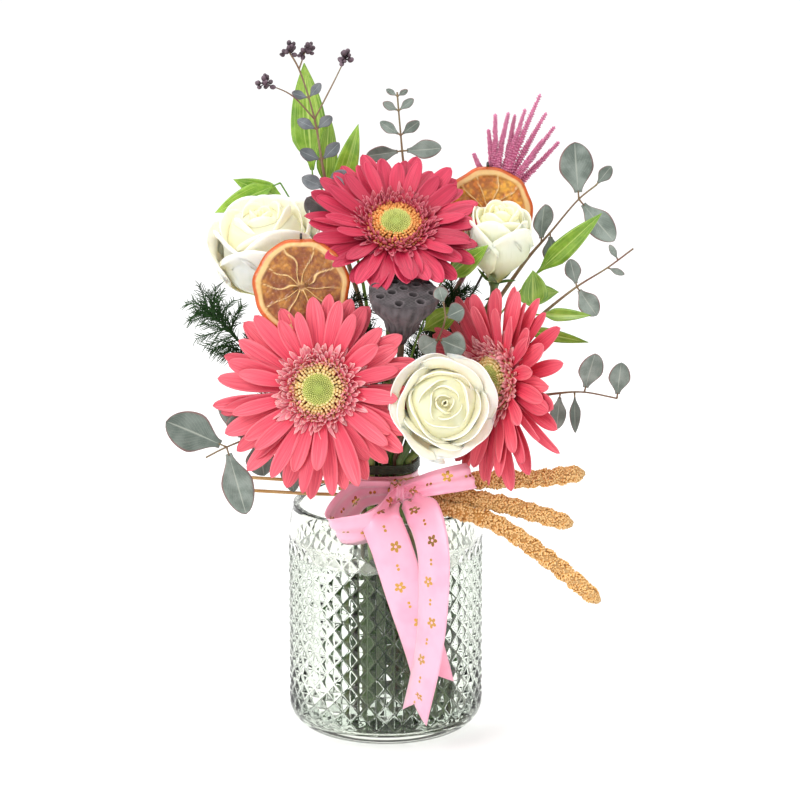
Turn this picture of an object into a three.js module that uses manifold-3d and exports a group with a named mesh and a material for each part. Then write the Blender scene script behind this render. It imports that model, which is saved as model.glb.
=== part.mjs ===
// A bouquet of gerberas, roses and dried pieces, tied with a satin ribbon and standing in a cut-glass vase.
// Millimetres, +Z up, origin at the middle of the vase's flat base, front of the bouquet towards -Y.
import * as THREE from 'three';
import { mergeVertices } from 'three/addons/utils/BufferGeometryUtils.js';
import Module from 'manifold-3d';

const wasm = await Module();
wasm.setup();

// ---------- Driving dimensions ----------
const GAP = 0.3; // between pieces that touch
const ROOM = 0.28; // cut round a piece from the ones that stand against it
const TURN = 2 * Math.PI;

const VASE = {
  height: 140,
  radius: 59,
  mouthRadius: 56,
  wall: 4,
  floor: 8,
  flatRadius: 43, // of the flat base
  shoulder: 20, // height of the band that narrows to the mouth
  segments: 40,
};
const WATER_LEVEL = VASE.height - 30;
// The places in the tables below are given for a mouth this high and a body this wide, and follow the vase's own.
const MOUTH_AT = 140;
const BODY_RADIUS_AT = 59;
const LIFT = VASE.height - MOUTH_AT;

const BUNDLE = {
  pitch: 5.8, // between neighbouring stems where they are tied
  bottom: VASE.height, // the stems run side by side from here
  top: VASE.height + 28, // to here
  spread: 1.7, // of the stem ends, on their places in the tie
  lean: 8, // of the stem ends, to the right
};
const BINDING = { bottom: VASE.height + 20.5, height: 6.5, thickness: 1.2 };
const RIBBON = { width: 24, thickness: 0.8, wrapBottom: VASE.height + 5, wrapHeight: 15, knot: [15, 13, 13] };

const STEM = { gerbera: 5, rose: 5, pod: 4.2, twig: 3, leafy: 2.8, fern: 2.6, wire: 1.8, spikes: 3.6 };
const STRAW_WIDTH = 2.4;

const GERBERA = {
  discRadius: 9,
  discHeight: 5,
  hubRadius: 10,
  hubHeight: 2.2,
  calyxRadius: 13,
  calyxHeight: 11,
  outer: { count: 18, width: 9.4, thickness: 1.3, cup: 0.16, curl: 0.12, rows: 3 },
  inner: { count: 12, width: 6, thickness: 1.2, cup: 0.42, curl: -0.1, rows: 2, reach: 28 },
};
const ROSE = { petals: 5, lobe: 0.07, receptacle: 5, budShare: 0.66 };
const SLICE = { thickness: 4.5, rind: 3 };
const POD = { radius: 21, height: 36, neck: 3.4, rim: 3, pit: 2.3, pitDepth: 3 };
const LEAF_THICKNESS = 1;
const SEED_RADIUS = 2.4;
const SPIKE = { base: 1.5, tip: 0.8 };
const MILLET_RADIUS = 5.5;

// ---------- Where each piece is held and where it goes ----------
// slot: [ring, step] round the tie. centre and face place a head, and via bends the stem on its way to it.
const GERBERAS = {
  gerbera_front: {
    slot: [3, 12], centre: [-38, -47, 220], face: [-0.12, -0.95, 0.26], radius: 60,
    via: [[-17, -16, 184], [-33, -22, 204]],
  },
  gerbera_top: {
    slot: [0, 0], centre: [6, 0, 306], face: [0.04, -0.64, 0.77], radius: 54,
    via: [[1, 2, 215], [4, 8, 265]],
  },
  gerbera_side: {
    slot: [3, 16], centre: [67, -38, 223], face: [-0.78, -0.59, 0.17], radius: 61,
    via: [[32, -9, 182], [64, -6, 196], [86, -13, 211]],
  },
};
const ROSES = {
  rose_front: {
    slot: [3, 15], base: [31, -36, 204], face: [0.08, -0.93, 0.34], radius: 29, length: 50,
    via: [[16, -17, 182]],
  },
  rose_left: {
    slot: [2, 6], base: [-67, 30, 257], face: [-0.12, -0.3, 0.94], radius: 35, length: 65,
    via: [[-22, 5, 195], [-48, 20, 232]],
  },
  rose_right: {
    slot: [1, 0], base: [65, 9, 273], face: [0.08, -0.24, 0.97], radius: 21, length: 50,
    via: [[15, 5, 195], [46, 10, 236]],
  },
};
const SLICES = {
  orange_left: {
    slot: [2, 7], centre: [-49, -31, 278], face: [0.04, -0.97, 0.2], radius: 28.5,
    via: [[-20, -9, 200], [-40, -17, 232]],
  },
  orange_right: {
    slot: [2, 1], centre: [62, 37, 310], face: [0.05, -0.96, 0.22], radius: 27,
    via: [[26, 20, 215], [52, 37, 258]],
  },
};
const LOTUS = { slot: [2, 9], top: [11, -45, 280], face: [0.05, -0.3, 0.95], via: [[3, -20, 205]] };

// at counts the route's points, with 0 at the tie. A leaf runs from there to its tip.
const TWIGS = {
  eucalyptus_seeded: {
    slot: [2, 4],
    route: [[-9, 22, 230], [-24, 30, 285], [-31, 25, 310], [-37, 21, 338], [-42, 19, 369], [-51, 18, 399], [-57, 17, 410]],
    branches: [
      { at: 5, route: [[-56, 17, 384], [-71, 14, 391]] },
      { at: 5, route: [[-31, 21, 390], [-24, 23, 404]] },
      { at: 6, route: [[-47, 19, 410]] },
    ],
    pairs: { from: 3.6, to: 5.4, count: 4, length: [17, 11], width: 9 },
    leaves: [
      { at: 3, tip: [-47, 12, 324], width: 16 },
      { at: 3.4, tip: [-25, 14, 334], width: 12 },
    ],
    seeds: true,
  },
  eucalyptus_middle: {
    slot: [2, 3],
    route: [[4, 28, 230], [10, 44, 290], [12, 48, 322], [10, 48, 345], [8, 48, 368], [7, 46, 381]],
    pairs: { from: 4.4, to: 5.8, count: 3, length: [15, 8], width: 7 },
    leaves: [
      { at: 4, tip: [-12, 46, 342], width: 10 },
      { at: 4, tip: [34, 44, 347], width: 12 },
    ],
  },
  eucalyptus_right: {
    slot: [3, 1],
    route: [[34, 16, 210], [67, 24, 257], [86, 30, 283], [99, 31, 298], [116, 29, 319], [126, 26, 328]],
    leaves: [
      { at: 5, tip: [113, 33, 353], width: 23 },
      { at: 5, tip: [137, 24, 294], width: 17 },
      { at: 4, tip: [101, 24, 279], width: 12 },
      { at: 3.6, tip: [94, 20, 318], width: 14 },
      { at: 6, tip: [135, 24, 340], width: 8 },
    ],
  },
  eucalyptus_twig: {
    slot: [3, 0],
    route: [[40, 6, 195], [68, 6, 229], [95, 4, 255], [114, 2, 271], [132, 0, 283], [147, -2, 295]],
    leaves: [
      { at: 4, tip: [126, 0, 254], width: 13 },
      { at: 4, tip: [110, 6, 287], width: 10 },
      { at: 5, tip: [142, 0, 279], width: 4 },
      { at: 5.4, tip: [133, 0, 297], width: 4 },
    ],
  },
  eucalyptus_low_right: {
    slot: [3, 17],
    route: [[44, 2, 184], [80, -2, 202], [104, -15, 210], [118, -21, 212], [137, -28, 210]],
    leaves: [
      { at: 3, tip: [102, -14, 188], width: 10 },
      { at: 3.6, tip: [113, -20, 187], width: 7 },
      { at: 4, tip: [124, -25, 237], width: 16 },
      { at: 5, tip: [139, -28, 232], width: 13 },
    ],
  },
  eucalyptus_low_left: {
    slot: [3, 11],
    route: [[-33, -25, 174], [-59, -36, 187], [-76, -42, 190], [-93, -50, 186], [-105, -55, 181]],
    leaves: [
      { at: 4, tip: [-128, -56, 204], width: 21 },
      { at: 4, tip: [-82, -56, 147], width: 15 },
      { at: 3.5, tip: [-84, -42, 205], width: 14 },
      { at: 3, tip: [-71, -48, 168], width: 13 },
      { at: 2.8, tip: [-97, -42, 213], width: 11 },
      { at: 2, tip: [-54, -44, 157], width: 8 },
    ],
  },
  eucalyptus_front: {
    slot: [2, 10],
    route: [[13, -17, 196], [20, -24, 224], [31, -41, 249], [35, -51, 264], [34, -55, 273]],
    leaves: [
      { at: 3, tip: [20, -50, 244], width: 11 },
      { at: 3, tip: [47, -44, 243], width: 12 },
      { at: 4, tip: [46, -54, 270], width: 9 },
      { at: 5, tip: [31, -57, 284], width: 7 },
    ],
  },
};
const RUSCUS = {
  ruscus_upper: {
    slot: [1, 2],
    route: [[-8, 16, 230], [-18, 34, 285], [-31, 43, 311], [-44, 44, 330]],
    leaves: [
      { at: 4, tip: [-49, 42, 400], width: 22 },
      { at: 3.4, tip: [-35, 44, 368], width: 13 },
      { at: 3, tip: [-16, 46, 362], width: 14 },
    ],
  },
  ruscus_left: {
    slot: [2, 5],
    route: [[-24, 24, 230], [-44, 48, 285], [-58, 58, 313], [-64, 56, 324]],
    leaves: [
      { at: 4, tip: [-104, 48, 308], width: 14 },
      { at: 3, tip: [-93, 56, 325], width: 13 },
      { at: 2.4, tip: [-92, 62, 282], width: 14 },
    ],
  },
  ruscus_right: {
    slot: [2, 0],
    route: [[38, 12, 206], [70, 18, 252], [88, 15, 274]],
    leaves: [
      { at: 3, tip: [129, 3, 316], width: 13 },
      { at: 2.4, tip: [104, 30, 262], width: 14 },
    ],
  },
  ruscus_middle: {
    slot: [1, 5],
    route: [[9, -7, 205], [20, -8, 245], [33, -10, 276]],
    leaves: [
      { at: 3, tip: [61, -19, 301], width: 13 },
      { at: 2, tip: [44, -14, 262], width: 15 },
      { at: 2.4, tip: [2, -16, 262], width: 14 },
    ],
  },
  ruscus_side: {
    slot: [2, 11],
    route: [[33, 5, 199], [62, 3, 232], [88, -7, 256]],
    leaves: [
      { at: 3, tip: [87, -10, 284], width: 18 },
      { at: 3, tip: [122, -11, 257], width: 8 },
      { at: 2.6, tip: [121, -12, 240], width: 8 },
    ],
  },
};
const FERNS = {
  fern_left: {
    slot: [3, 9], route: [[-38, -8, 188], [-64, -18, 220], [-90, -22, 247], [-107, -22, 267]],
    fronds: 7, frondLength: 26,
  },
  fern_middle: {
    slot: [1, 3], route: [[-15, 0, 200], [-23, -2, 235], [-22, -8, 264]],
    fronds: 5, frondLength: 20,
  },
  fern_right: {
    slot: [1, 1], route: [[14, 10, 200], [30, 12, 238], [42, 8, 268]],
    fronds: 5, frondLength: 20,
  },
};
const SPIKES = {
  slot: [2, 2],
  route: [[26, 30, 230], [56, 46, 285], [67, 48, 312]],
  tips: [
    [53, 46, 344], [62, 50, 358], [66, 46, 368], [74, 46, 369], [78, 50, 367], [84, 46, 371],
    [93, 46, 380], [97, 51, 368], [95, 44, 353], [102, 48, 360], [105, 52, 350],
  ],
};
// Each straw crosses the front of the bundle behind the knot. The seed head is the right-hand run.
const MILLETS = {
  millet_upper: {
    level: 156.4, left: [[-81, -19, 159], [-33, -22, 157]],
    right: [[24, -26, 158.5], [50, -29, 160], [86, -33, 162], [118, -35, 166]],
  },
  millet_middle: {
    level: 153, left: [[-28, -22, 153]],
    right: [[24, -30, 153], [66, -36, 148], [111, -40, 136]],
  },
  millet_lower: {
    level: 149.6, left: [[-81, -19, 151], [-33, -22, 149.4]],
    right: [[23, -34, 147], [62, -43, 139], [96, -47, 117], [127, -50, 91]],
  },
};
const BOW = {
  knot: [8, -32, 154],
  loopLeft: { far: [-30, -58, 138], belly: 13, width: 24 },
  loopRight: { far: [51, -47, 168], belly: 7, width: 13 },
  tailLeft: {
    across: [1, 0, 0],
    route: [[3, -42, 150], [-2, -57, 145], [4, -63.5, 128], [13, -64, 98], [23, -64, 66], [29, -63.5, 43]],
  },
  tailRight: {
    across: [0.7, -0.71, 0],
    route: [[14, -43, 152], [22, -59, 147], [27, -71, 130], [27, -75, 96], [24, -76, 66], [16, -75, 27]],
  },
  notch: 9,
};

// ---------- Solids ----------
/** A place from the tables, lifted with the vase's mouth. */
const vector = ([x, y, z]) => new THREE.Vector3(x, y, z + LIFT);
const direction = (xyz) => new THREE.Vector3(...xyz);

/** A place in front of the vase, moved out with its wall. */
const inFront = (xyz) => vector(xyz).setY(xyz[1] - Math.max(0, VASE.radius - BODY_RADIUS_AT));

/** A closed solid of a geometry, with shared corners merged and faces of no width left out. */
function solidOf(geometry) {
  const bare = geometry.clone();
  bare.deleteAttribute('normal');
  bare.deleteAttribute('uv');
  const merged = mergeVertices(bare, 1e-4);
  const corners = merged.index.array;
  const faces = [];
  for (let i = 0; i < corners.length; i += 3) {
    const [a, b, c] = corners.slice(i, i + 3);
    if (a !== b && b !== c && c !== a) {
      faces.push(a, b, c);
    }
  }
  const mesh = new wasm.Mesh({
    numProp: 3,
    vertProperties: Float32Array.from(merged.attributes.position.array),
    triVerts: Uint32Array.from(faces),
  });
  return new wasm.Manifold(mesh);
}

const join = (solids) => solids.reduce((whole, solid) => whole.add(solid));

/** The largest body of a solid. */
function largestBody(solid) {
  return solid.decompose().reduce((best, body) => (body.volume() > best.volume() ? body : best));
}

/** The geometry of a solid, with corners shared. */
function geometryOf(solid) {
  const mesh = solid.getMesh();
  const geometry = new THREE.BufferGeometry();
  geometry.setAttribute('position', new THREE.BufferAttribute(Float32Array.from(mesh.vertProperties), 3));
  geometry.setIndex(new THREE.BufferAttribute(Uint32Array.from(mesh.triVerts), 1));
  geometry.computeVertexNormals();
  return geometry;
}

/** A solid grown on every side, for cutting its room out of a neighbour. */
function swell(solid, distance) {
  const geometry = geometryOf(solid);
  const { position, normal } = geometry.attributes;
  for (let i = 0; i < position.count; i += 1) {
    position.setXYZ(
      i,
      position.getX(i) + normal.getX(i) * distance,
      position.getY(i) + normal.getY(i) * distance,
      position.getZ(i) + normal.getZ(i) * distance,
    );
  }
  return solidOf(geometry);
}

function boxesMeet(a, b) {
  return [0, 1, 2].every((k) => a.min[k] <= b.max[k] && b.min[k] <= a.max[k]);
}

/** A turned solid about +Z from [radius, height] points that start and end on the axis or close. */
function turned(points, segments) {
  const profile = points.map(([r, z]) => new THREE.Vector2(r, z));
  return solidOf(new THREE.LatheGeometry(profile, segments).rotateX(Math.PI / 2));
}

/** A turned solid whose radius swells and shrinks a few times round it. */
function lobed(points, count, depth) {
  const profile = points.map(([r, z]) => new THREE.Vector2(r, z));
  const geometry = new THREE.LatheGeometry(profile, 4 * count).rotateX(Math.PI / 2);
  const { position } = geometry.attributes;
  for (let i = 0; i < position.count; i += 1) {
    const angle = Math.atan2(position.getY(i), position.getX(i));
    const scale = 1 + depth * Math.cos(count * angle);
    position.setXY(i, position.getX(i) * scale, position.getY(i) * scale);
  }
  return solidOf(geometry);
}

/** Moves a shape made about +Z from the origin to a point, with +Z along a direction. */
function stood(solid, at, along) {
  const turn = new THREE.Quaternion().setFromUnitVectors(new THREE.Vector3(0, 0, 1), along.clone().normalize());
  const matrix = new THREE.Matrix4().compose(at, turn, new THREE.Vector3(1, 1, 1));
  return solid.transform(matrix.elements);
}

/** A curve sampled at even steps of its own parameter, so that a straight run costs one step. */
class Route extends THREE.Curve {
  constructor(foot, points) {
    super();
    this.foot = foot;
    this.upper = new THREE.CatmullRomCurve3(points);
    this.steps = foot.length + 2 * (points.length - 1);
  }

  getPoint(t) {
    const s = t * this.steps;
    const count = this.foot.length;
    if (s >= count) {
      return this.upper.getPoint(Math.min((s - count) / (this.steps - count), 1));
    }
    const step = Math.floor(s);
    const next = step + 1 < count ? this.foot[step + 1] : this.upper.points[0];
    return this.foot[step].clone().lerp(next, s - step);
  }

  getUtoTmapping(u) {
    return u;
  }
}

/** Evenly spaced points on a circle. */
function circlePoints(count, radius) {
  return Array.from({ length: count }, (_, i) => {
    const angle = (TURN * i) / count;
    return new THREE.Vector2(radius * Math.cos(angle), radius * Math.sin(angle));
  });
}

/** A round rod along a curve. */
function rod(path, width, steps, sides = 6) {
  const section = new THREE.Shape(circlePoints(sides, width / 2));
  return solidOf(new THREE.ExtrudeGeometry(section, { steps, extrudePath: path, bevelEnabled: false }));
}

/** A round rod along a curve whose width changes along it. */
function taperedRod(path, widthAt, steps, sides = 8) {
  const geometry = new THREE.CylinderGeometry(0.5, 0.5, 1, sides, steps);
  const frames = path.computeFrenetFrames(steps);
  const { position } = geometry.attributes;
  for (let i = 0; i < position.count; i += 1) {
    const step = Math.round((position.getY(i) + 0.5) * steps);
    const width = widthAt(step / steps);
    const point = path.getPointAt(step / steps);
    point.addScaledVector(frames.binormals[step], position.getX(i) * width);
    point.addScaledVector(frames.normals[step], position.getZ(i) * width);
    position.setXYZ(i, point.x, point.y, point.z);
  }
  return solidOf(geometry);
}

/** Where a stem stands in the tie. */
function slotPlace([ring, step]) {
  const angle = ring ? (step * TURN) / (6 * ring) : 0;
  return new THREE.Vector2(Math.cos(angle), Math.sin(angle)).multiplyScalar(ring * BUNDLE.pitch);
}

/** The straight lower part of a stem: its end on the vase's floor, and where it enters the tied run. */
function stemFoot(slot) {
  const { x, y } = slotPlace(slot);
  return [
    new THREE.Vector3(x * BUNDLE.spread + BUNDLE.lean, y * BUNDLE.spread, VASE.floor + GAP),
    new THREE.Vector3(x, y, BUNDLE.bottom),
  ];
}

/** A stem's route from the vase's floor, through the tie and on through points. */
function stemRoute(slot, points) {
  const { x, y } = slotPlace(slot);
  return new Route(stemFoot(slot), [new THREE.Vector3(x, y, BUNDLE.top), ...points]);
}

const stemSolid = (route, width) => rod(route, width, route.steps, width > 4 ? 8 : 6);

const petalOutline = (t) => Math.sin(Math.PI * (0.05 + 0.72 * t));
const leafOutline = (t) => Math.max(0.12, Math.sin(Math.PI * t ** 0.85));

/**
 * A thin blade from the origin along +X with its face to +Z. curl bends it along its length, in radians.
 */
function blade({ length, width, thickness, outline, curl, rows = 2 }) {
  const geometry = new THREE.BoxGeometry(length, width, thickness, rows, 1, 1);
  const { position } = geometry.attributes;
  const bendRadius = length / curl;
  for (let i = 0; i < position.count; i += 1) {
    const t = THREE.MathUtils.clamp(position.getX(i) / length + 0.5, 0, 1);
    const radius = bendRadius - position.getZ(i);
    const angle = curl * t;
    position.setXYZ(i, radius * Math.sin(angle), position.getY(i) * outline(t), bendRadius - radius * Math.cos(angle));
  }
  return geometry;
}

/** Lays a blade from a point along a direction, with its face as near to a second direction as it can be. */
function laid(geometry, from, along, face) {
  const x = along.clone().normalize();
  const y = face.clone().cross(x).normalize();
  const z = x.clone().cross(y);
  const matrix = new THREE.Matrix4().makeBasis(x, y, z).setPosition(from);
  return solidOf(geometry.applyMatrix4(matrix));
}

/** Blades in a ring about +Z, each tilted up from the ring's plane by cup. */
function bladeRing({ count, cup, inner, shape, twist = 0 }) {
  const blades = [];
  for (let i = 0; i < count; i += 1) {
    const angle = (TURN * (i + twist)) / count;
    const out = new THREE.Vector3(Math.cos(angle), Math.sin(angle), 0);
    const along = out.clone().multiplyScalar(Math.cos(cup)).setZ(Math.sin(cup));
    const from = out.clone().multiplyScalar(inner);
    blades.push(laid(blade(shape), from, along, new THREE.Vector3(0, 0, 1)));
  }
  return join(blades);
}

/** A band of ribbon along a curve, with its width along a direction. */
function band(path, widthAt, across, steps) {
  const geometry = new THREE.BoxGeometry(1, 1, RIBBON.thickness, steps, 1, 1);
  const { position } = geometry.attributes;
  for (let i = 0; i < position.count; i += 1) {
    const t = THREE.MathUtils.clamp(position.getX(i) + 0.5, 0, 1);
    const tangent = path.getTangent(t);
    const normal = tangent.clone().cross(across).normalize();
    const side = normal.clone().cross(tangent).normalize();
    const point = path.getPoint(t);
    point.addScaledVector(side, position.getY(i) * widthAt(t));
    point.addScaledVector(normal, position.getZ(i));
    position.setXYZ(i, point.x, point.y, point.z);
  }
  return solidOf(geometry);
}

// ---------- The scene: each piece is cut clear of those that stand before it ----------
const group = new THREE.Group();
const pieces = [];

function material(color, roughness, metalness = 0, opacity = 1) {
  return new THREE.MeshStandardMaterial({ color, roughness, metalness, opacity, transparent: opacity < 1 });
}

function addMesh(name, solid, finish) {
  const mesh = new THREE.Mesh(geometryOf(solid), finish);
  mesh.name = name;
  group.add(mesh);
}

/** Adds a named piece, less the room of each earlier piece that it meets. */
function place(name, solid, finish) {
  let shape = solid;
  for (const earlier of pieces) {
    if (boxesMeet(shape.boundingBox(), earlier.box)) {
      shape = shape.subtract(earlier.room);
    }
  }
  const body = largestBody(shape);
  const room = swell(body, ROOM);
  pieces.push({ room, box: room.boundingBox() });
  addMesh(name, body, finish);
}

const FINISH = {
  glass: material('#eef5f2', 0.05, 0, 0.35),
  water: material('#d9e6e0', 0.05, 0, 0.35),
  binding: material('#2c3326', 0.6),
  ribbon: material('#f39cb4', 0.35),
  stem: material('#5c7a35', 0.55),
  calyx: material('#6f8f3c', 0.6),
  coral: material('#ee5468', 0.5),
  coralInner: material('#f08d80', 0.55),
  disc: material('#c3bd4c', 0.7),
  rose: material('#f4efd4', 0.5),
  roseHeart: material('#efe9bf', 0.5),
  orange: material('#c9752a', 0.6),
  wire: material('#2e2a26', 0.5),
  pod: material('#55483f', 0.85),
  eucalyptus: material('#6f8378', 0.6),
  ruscus: material('#5f9a34', 0.45),
  fern: material('#2f5a2a', 0.7),
  spikes: material('#b0577c', 0.85),
  millet: material('#d09a52', 0.85),
};

// ---------- Vase, water, tie and ribbon ----------
/** The inside of the vase as [radius, height] points from the floor's edge to the mouth, drawn in by a clearance. */
function insideLine(clearance, top) {
  const corner = VASE.radius - VASE.flatRadius - VASE.wall;
  const radius = VASE.radius - VASE.wall - clearance;
  const low = VASE.floor + clearance;
  const line = [];
  for (let i = 0; i <= 3; i += 1) {
    const angle = (i / 3) * (Math.PI / 2);
    line.push([radius - corner * (1 - Math.sin(angle)), low + corner * (1 - Math.cos(angle))]);
  }
  const shoulderStart = VASE.height - VASE.shoulder;
  if (top > shoulderStart) {
    line.push([radius, shoulderStart]);
    line.push([VASE.mouthRadius - VASE.wall - clearance, top]);
  } else {
    line.push([radius, top]);
  }
  return line;
}

function vase() {
  const corner = VASE.radius - VASE.flatRadius;
  const outline = [[0, 0]];
  for (let i = 0; i <= 4; i += 1) {
    const angle = (i / 4) * (Math.PI / 2);
    outline.push([VASE.flatRadius + corner * Math.sin(angle), corner * (1 - Math.cos(angle))]);
  }
  const shoulderStart = VASE.height - VASE.shoulder;
  outline.push([VASE.radius, shoulderStart]);
  outline.push([(VASE.radius + VASE.mouthRadius) / 2 + 0.8, VASE.height - VASE.shoulder / 3]);
  outline.push([VASE.mouthRadius, VASE.height]);
  const inside = insideLine(0, VASE.height).reverse();
  place('vase', turned([...outline, ...inside, [0, VASE.floor]], VASE.segments), FINISH.glass);
}

/** The water, with a straight channel for each stem that stands in it. */
function water() {
  const inside = insideLine(GAP, WATER_LEVEL);
  const profile = [[0, VASE.floor + GAP], ...inside, [0, WATER_LEVEL]];
  const channels = tiedStems.map(([slot, width]) => {
    const [end, tie] = stemFoot(slot);
    const beyond = end.clone().lerp(tie, -0.05);
    return rod(new THREE.LineCurve3(beyond, tie), (width + 2 * GAP) / Math.cos(Math.PI / 6), 1);
  });
  addMesh('water', turned(profile, VASE.segments).subtract(join(channels)), FINISH.water);
}

/** A closed collar round the tied stems, drawn tight like a string round their outer ones. */
function collar(inset, thickness, bottom, height) {
  const rims = tiedStems.flatMap(([slot, width]) => {
    const centre = slotPlace(slot);
    return circlePoints(12, width / 2 + inset).map((point) => point.add(centre));
  });
  const line = convexLine(rims);
  const shape = new THREE.Shape(line.map((p) => p.clone().setLength(p.length() + thickness)));
  shape.holes.push(new THREE.Path([...line].reverse()));
  const geometry = new THREE.ExtrudeGeometry(shape, { depth: height, bevelEnabled: false });
  return solidOf(geometry.translate(0, 0, bottom));
}

/** The convex line round points, counter-clockwise. */
function convexLine(points) {
  const sorted = [...points].sort((a, b) => a.x - b.x || a.y - b.y);
  const turnsLeft = (a, b, c) => (b.x - a.x) * (c.y - a.y) - (b.y - a.y) * (c.x - a.x) > 1e-9;
  const chain = (list) => {
    const line = [];
    for (const p of list) {
      while (line.length > 1 && !turnsLeft(line.at(-2), line.at(-1), p)) {
        line.pop();
      }
      line.push(p);
    }
    return line.slice(0, -1);
  };
  return [...chain(sorted), ...chain(sorted.reverse())];
}

/** One loop of the bow: out from the knot to its far end and back behind, with its width upright. */
function bowLoop(name, { far, belly, width }, start) {
  const end = inFront(far);
  const out = end.clone().sub(start);
  const depth = new THREE.Vector3(0, 1, 0);
  const front = start.clone().addScaledVector(out, 0.5).addScaledVector(depth, -belly);
  const back = start.clone().addScaledVector(out, 0.5).addScaledVector(depth, belly);
  const before = start.clone().setY(start.y - 1.4);
  const behind = start.clone().setY(start.y + 1.4);
  const path = new THREE.CatmullRomCurve3([before, front, end, back, behind]);
  const across = out.clone().normalize().cross(depth).normalize();
  const widthAt = (t) => width * (0.5 + 0.5 * Math.sin(Math.PI * t) ** 0.6);
  place(name, band(path, widthAt, across, 14), FINISH.ribbon);
}

/** A tail of the bow, with a notched end. */
function bowTail(name, { across, route }) {
  const [start, ...rest] = route;
  const places = [vector(start), ...rest.map(inFront)];
  const widthAt = (t) => RIBBON.width * (0.55 + 0.45 * THREE.MathUtils.smoothstep(t, 0, 0.2));
  const strip = band(new THREE.CatmullRomCurve3(places), widthAt, direction(across), 14);
  const end = places.at(-1);
  const notch = new THREE.Shape([
    new THREE.Vector2(0, BOW.notch),
    new THREE.Vector2(-RIBBON.width / 2, -1),
    new THREE.Vector2(RIBBON.width / 2, -1),
  ]);
  const cutter = new THREE.ExtrudeGeometry(notch, { depth: 20, bevelEnabled: false });
  cutter.translate(0, 0, -10).rotateX(Math.PI / 2).rotateZ(Math.atan2(across[1], across[0])).translate(end.x, end.y, end.z);
  place(name, strip.subtract(solidOf(cutter)), FINISH.ribbon);
}

function bow() {
  const [width, depth, height] = RIBBON.knot;
  const knot = vector(BOW.knot);
  const ball = new THREE.SphereGeometry(0.5, 12, 8).scale(width, depth, height).translate(...knot.toArray());
  place('ribbon_knot', solidOf(ball), FINISH.ribbon);
  bowTail('ribbon_tail_left', BOW.tailLeft);
  bowTail('ribbon_tail_right', BOW.tailRight);
  bowLoop('ribbon_loop_left', BOW.loopLeft, knot);
  bowLoop('ribbon_loop_right', BOW.loopRight, knot);
}

// ---------- Flowers ----------
function gerberaParts(name, { centre, face, radius }) {
  const at = vector(centre);
  const along = direction(face);
  const { outer, inner } = GERBERA;
  const hub = (z) => turned([[0, z], [GERBERA.hubRadius, z], [GERBERA.hubRadius, z + GERBERA.hubHeight], [0, z + GERBERA.hubHeight]], 16);
  const rootRadius = GERBERA.hubRadius - 1;
  const innerHubAt = GERBERA.hubHeight + GAP;
  const discAt = innerHubAt + GERBERA.hubHeight + GAP;

  const dome = [[0, discAt]];
  for (let i = 0; i <= 4; i += 1) {
    const angle = (i / 4) * (Math.PI / 2);
    dome.push([GERBERA.discRadius * Math.cos(angle), discAt + 1 + GERBERA.discHeight * Math.sin(angle)]);
  }
  dome[1] = [GERBERA.discRadius, discAt];
  place(`${name}_disc`, stood(turned(dome, 20), at, along), FINISH.disc);

  const outerRing = bladeRing({
    count: outer.count,
    cup: outer.cup,
    inner: rootRadius,
    shape: { ...outer, length: radius - rootRadius, outline: petalOutline },
  }).translate([0, 0, GERBERA.hubHeight / 2]);
  place(`${name}_outer_rays`, stood(outerRing.add(hub(0)), at, along), FINISH.coral);

  const innerRing = bladeRing({
    count: inner.count,
    cup: inner.cup,
    inner: rootRadius,
    twist: 0.5,
    shape: { ...inner, length: inner.reach - rootRadius, outline: petalOutline },
  }).translate([0, 0, innerHubAt + GERBERA.hubHeight / 2]);
  place(`${name}_inner_rays`, stood(innerRing.add(hub(innerHubAt)), at, along), FINISH.coralInner);

  const neck = STEM.gerbera / 2 + 1;
  const calyx = turned([[0, -GERBERA.calyxHeight], [neck, -GERBERA.calyxHeight], [GERBERA.calyxRadius * 0.8, -GERBERA.calyxHeight / 2], [GERBERA.calyxRadius, -GAP], [0, -GAP]], 16);
  place(`${name}_calyx`, stood(calyx, at, along), FINISH.calyx);
}

/** The stem that carries a head: on through its bends and into the head's back along its own direction. */
function headStem(name, { slot, via }, neck, along, width, finish) {
  const before = neck.clone().addScaledVector(along.clone().normalize(), -2.6 * width);
  const route = stemRoute(slot, [...via.map(vector), before, neck]);
  place(name, stemSolid(route, width), finish);
}

function gerberaStem(name, flower) {
  const along = direction(flower.face).normalize();
  const neck = vector(flower.centre).addScaledVector(along, -GERBERA.calyxHeight - GAP);
  headStem(`${name}_stem`, flower, neck, along, STEM.gerbera, FINISH.stem);
}

function roseParts(name, { base, face, radius, length }) {
  const at = vector(base);
  const along = direction(face);
  const budRadius = radius * ROSE.budShare;
  const bud = [[0, 3]];
  for (let i = 1; i <= 5; i += 1) {
    const t = i / 5;
    bud.push([budRadius * Math.sin(Math.PI * (0.2 + 0.55 * t)), 3 + (length - 3) * t]);
  }
  bud.push([0, length]);
  place(`${name}_bud`, stood(turned(bud, 16), at, along), FINISH.roseHeart);

  const cup = [[0, 0], [ROSE.receptacle, 0], [radius * 0.62, length * 0.14], [radius * 0.9, length * 0.38]];
  cup.push([radius * 0.95, length * 0.66], [radius, length * 0.86], [radius * 0.9, length * 0.9]);
  cup.push([radius * 0.72, length * 0.7], [0, length * 0.68]);
  place(`${name}_petals`, stood(lobed(cup, ROSE.petals, ROSE.lobe), at, along), FINISH.rose);
}

function roseStem(name, flower) {
  const along = direction(flower.face).normalize();
  const neck = vector(flower.base).addScaledVector(along, -GAP);
  headStem(`${name}_stem`, flower, neck, along, STEM.rose, FINISH.stem);
}

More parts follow.
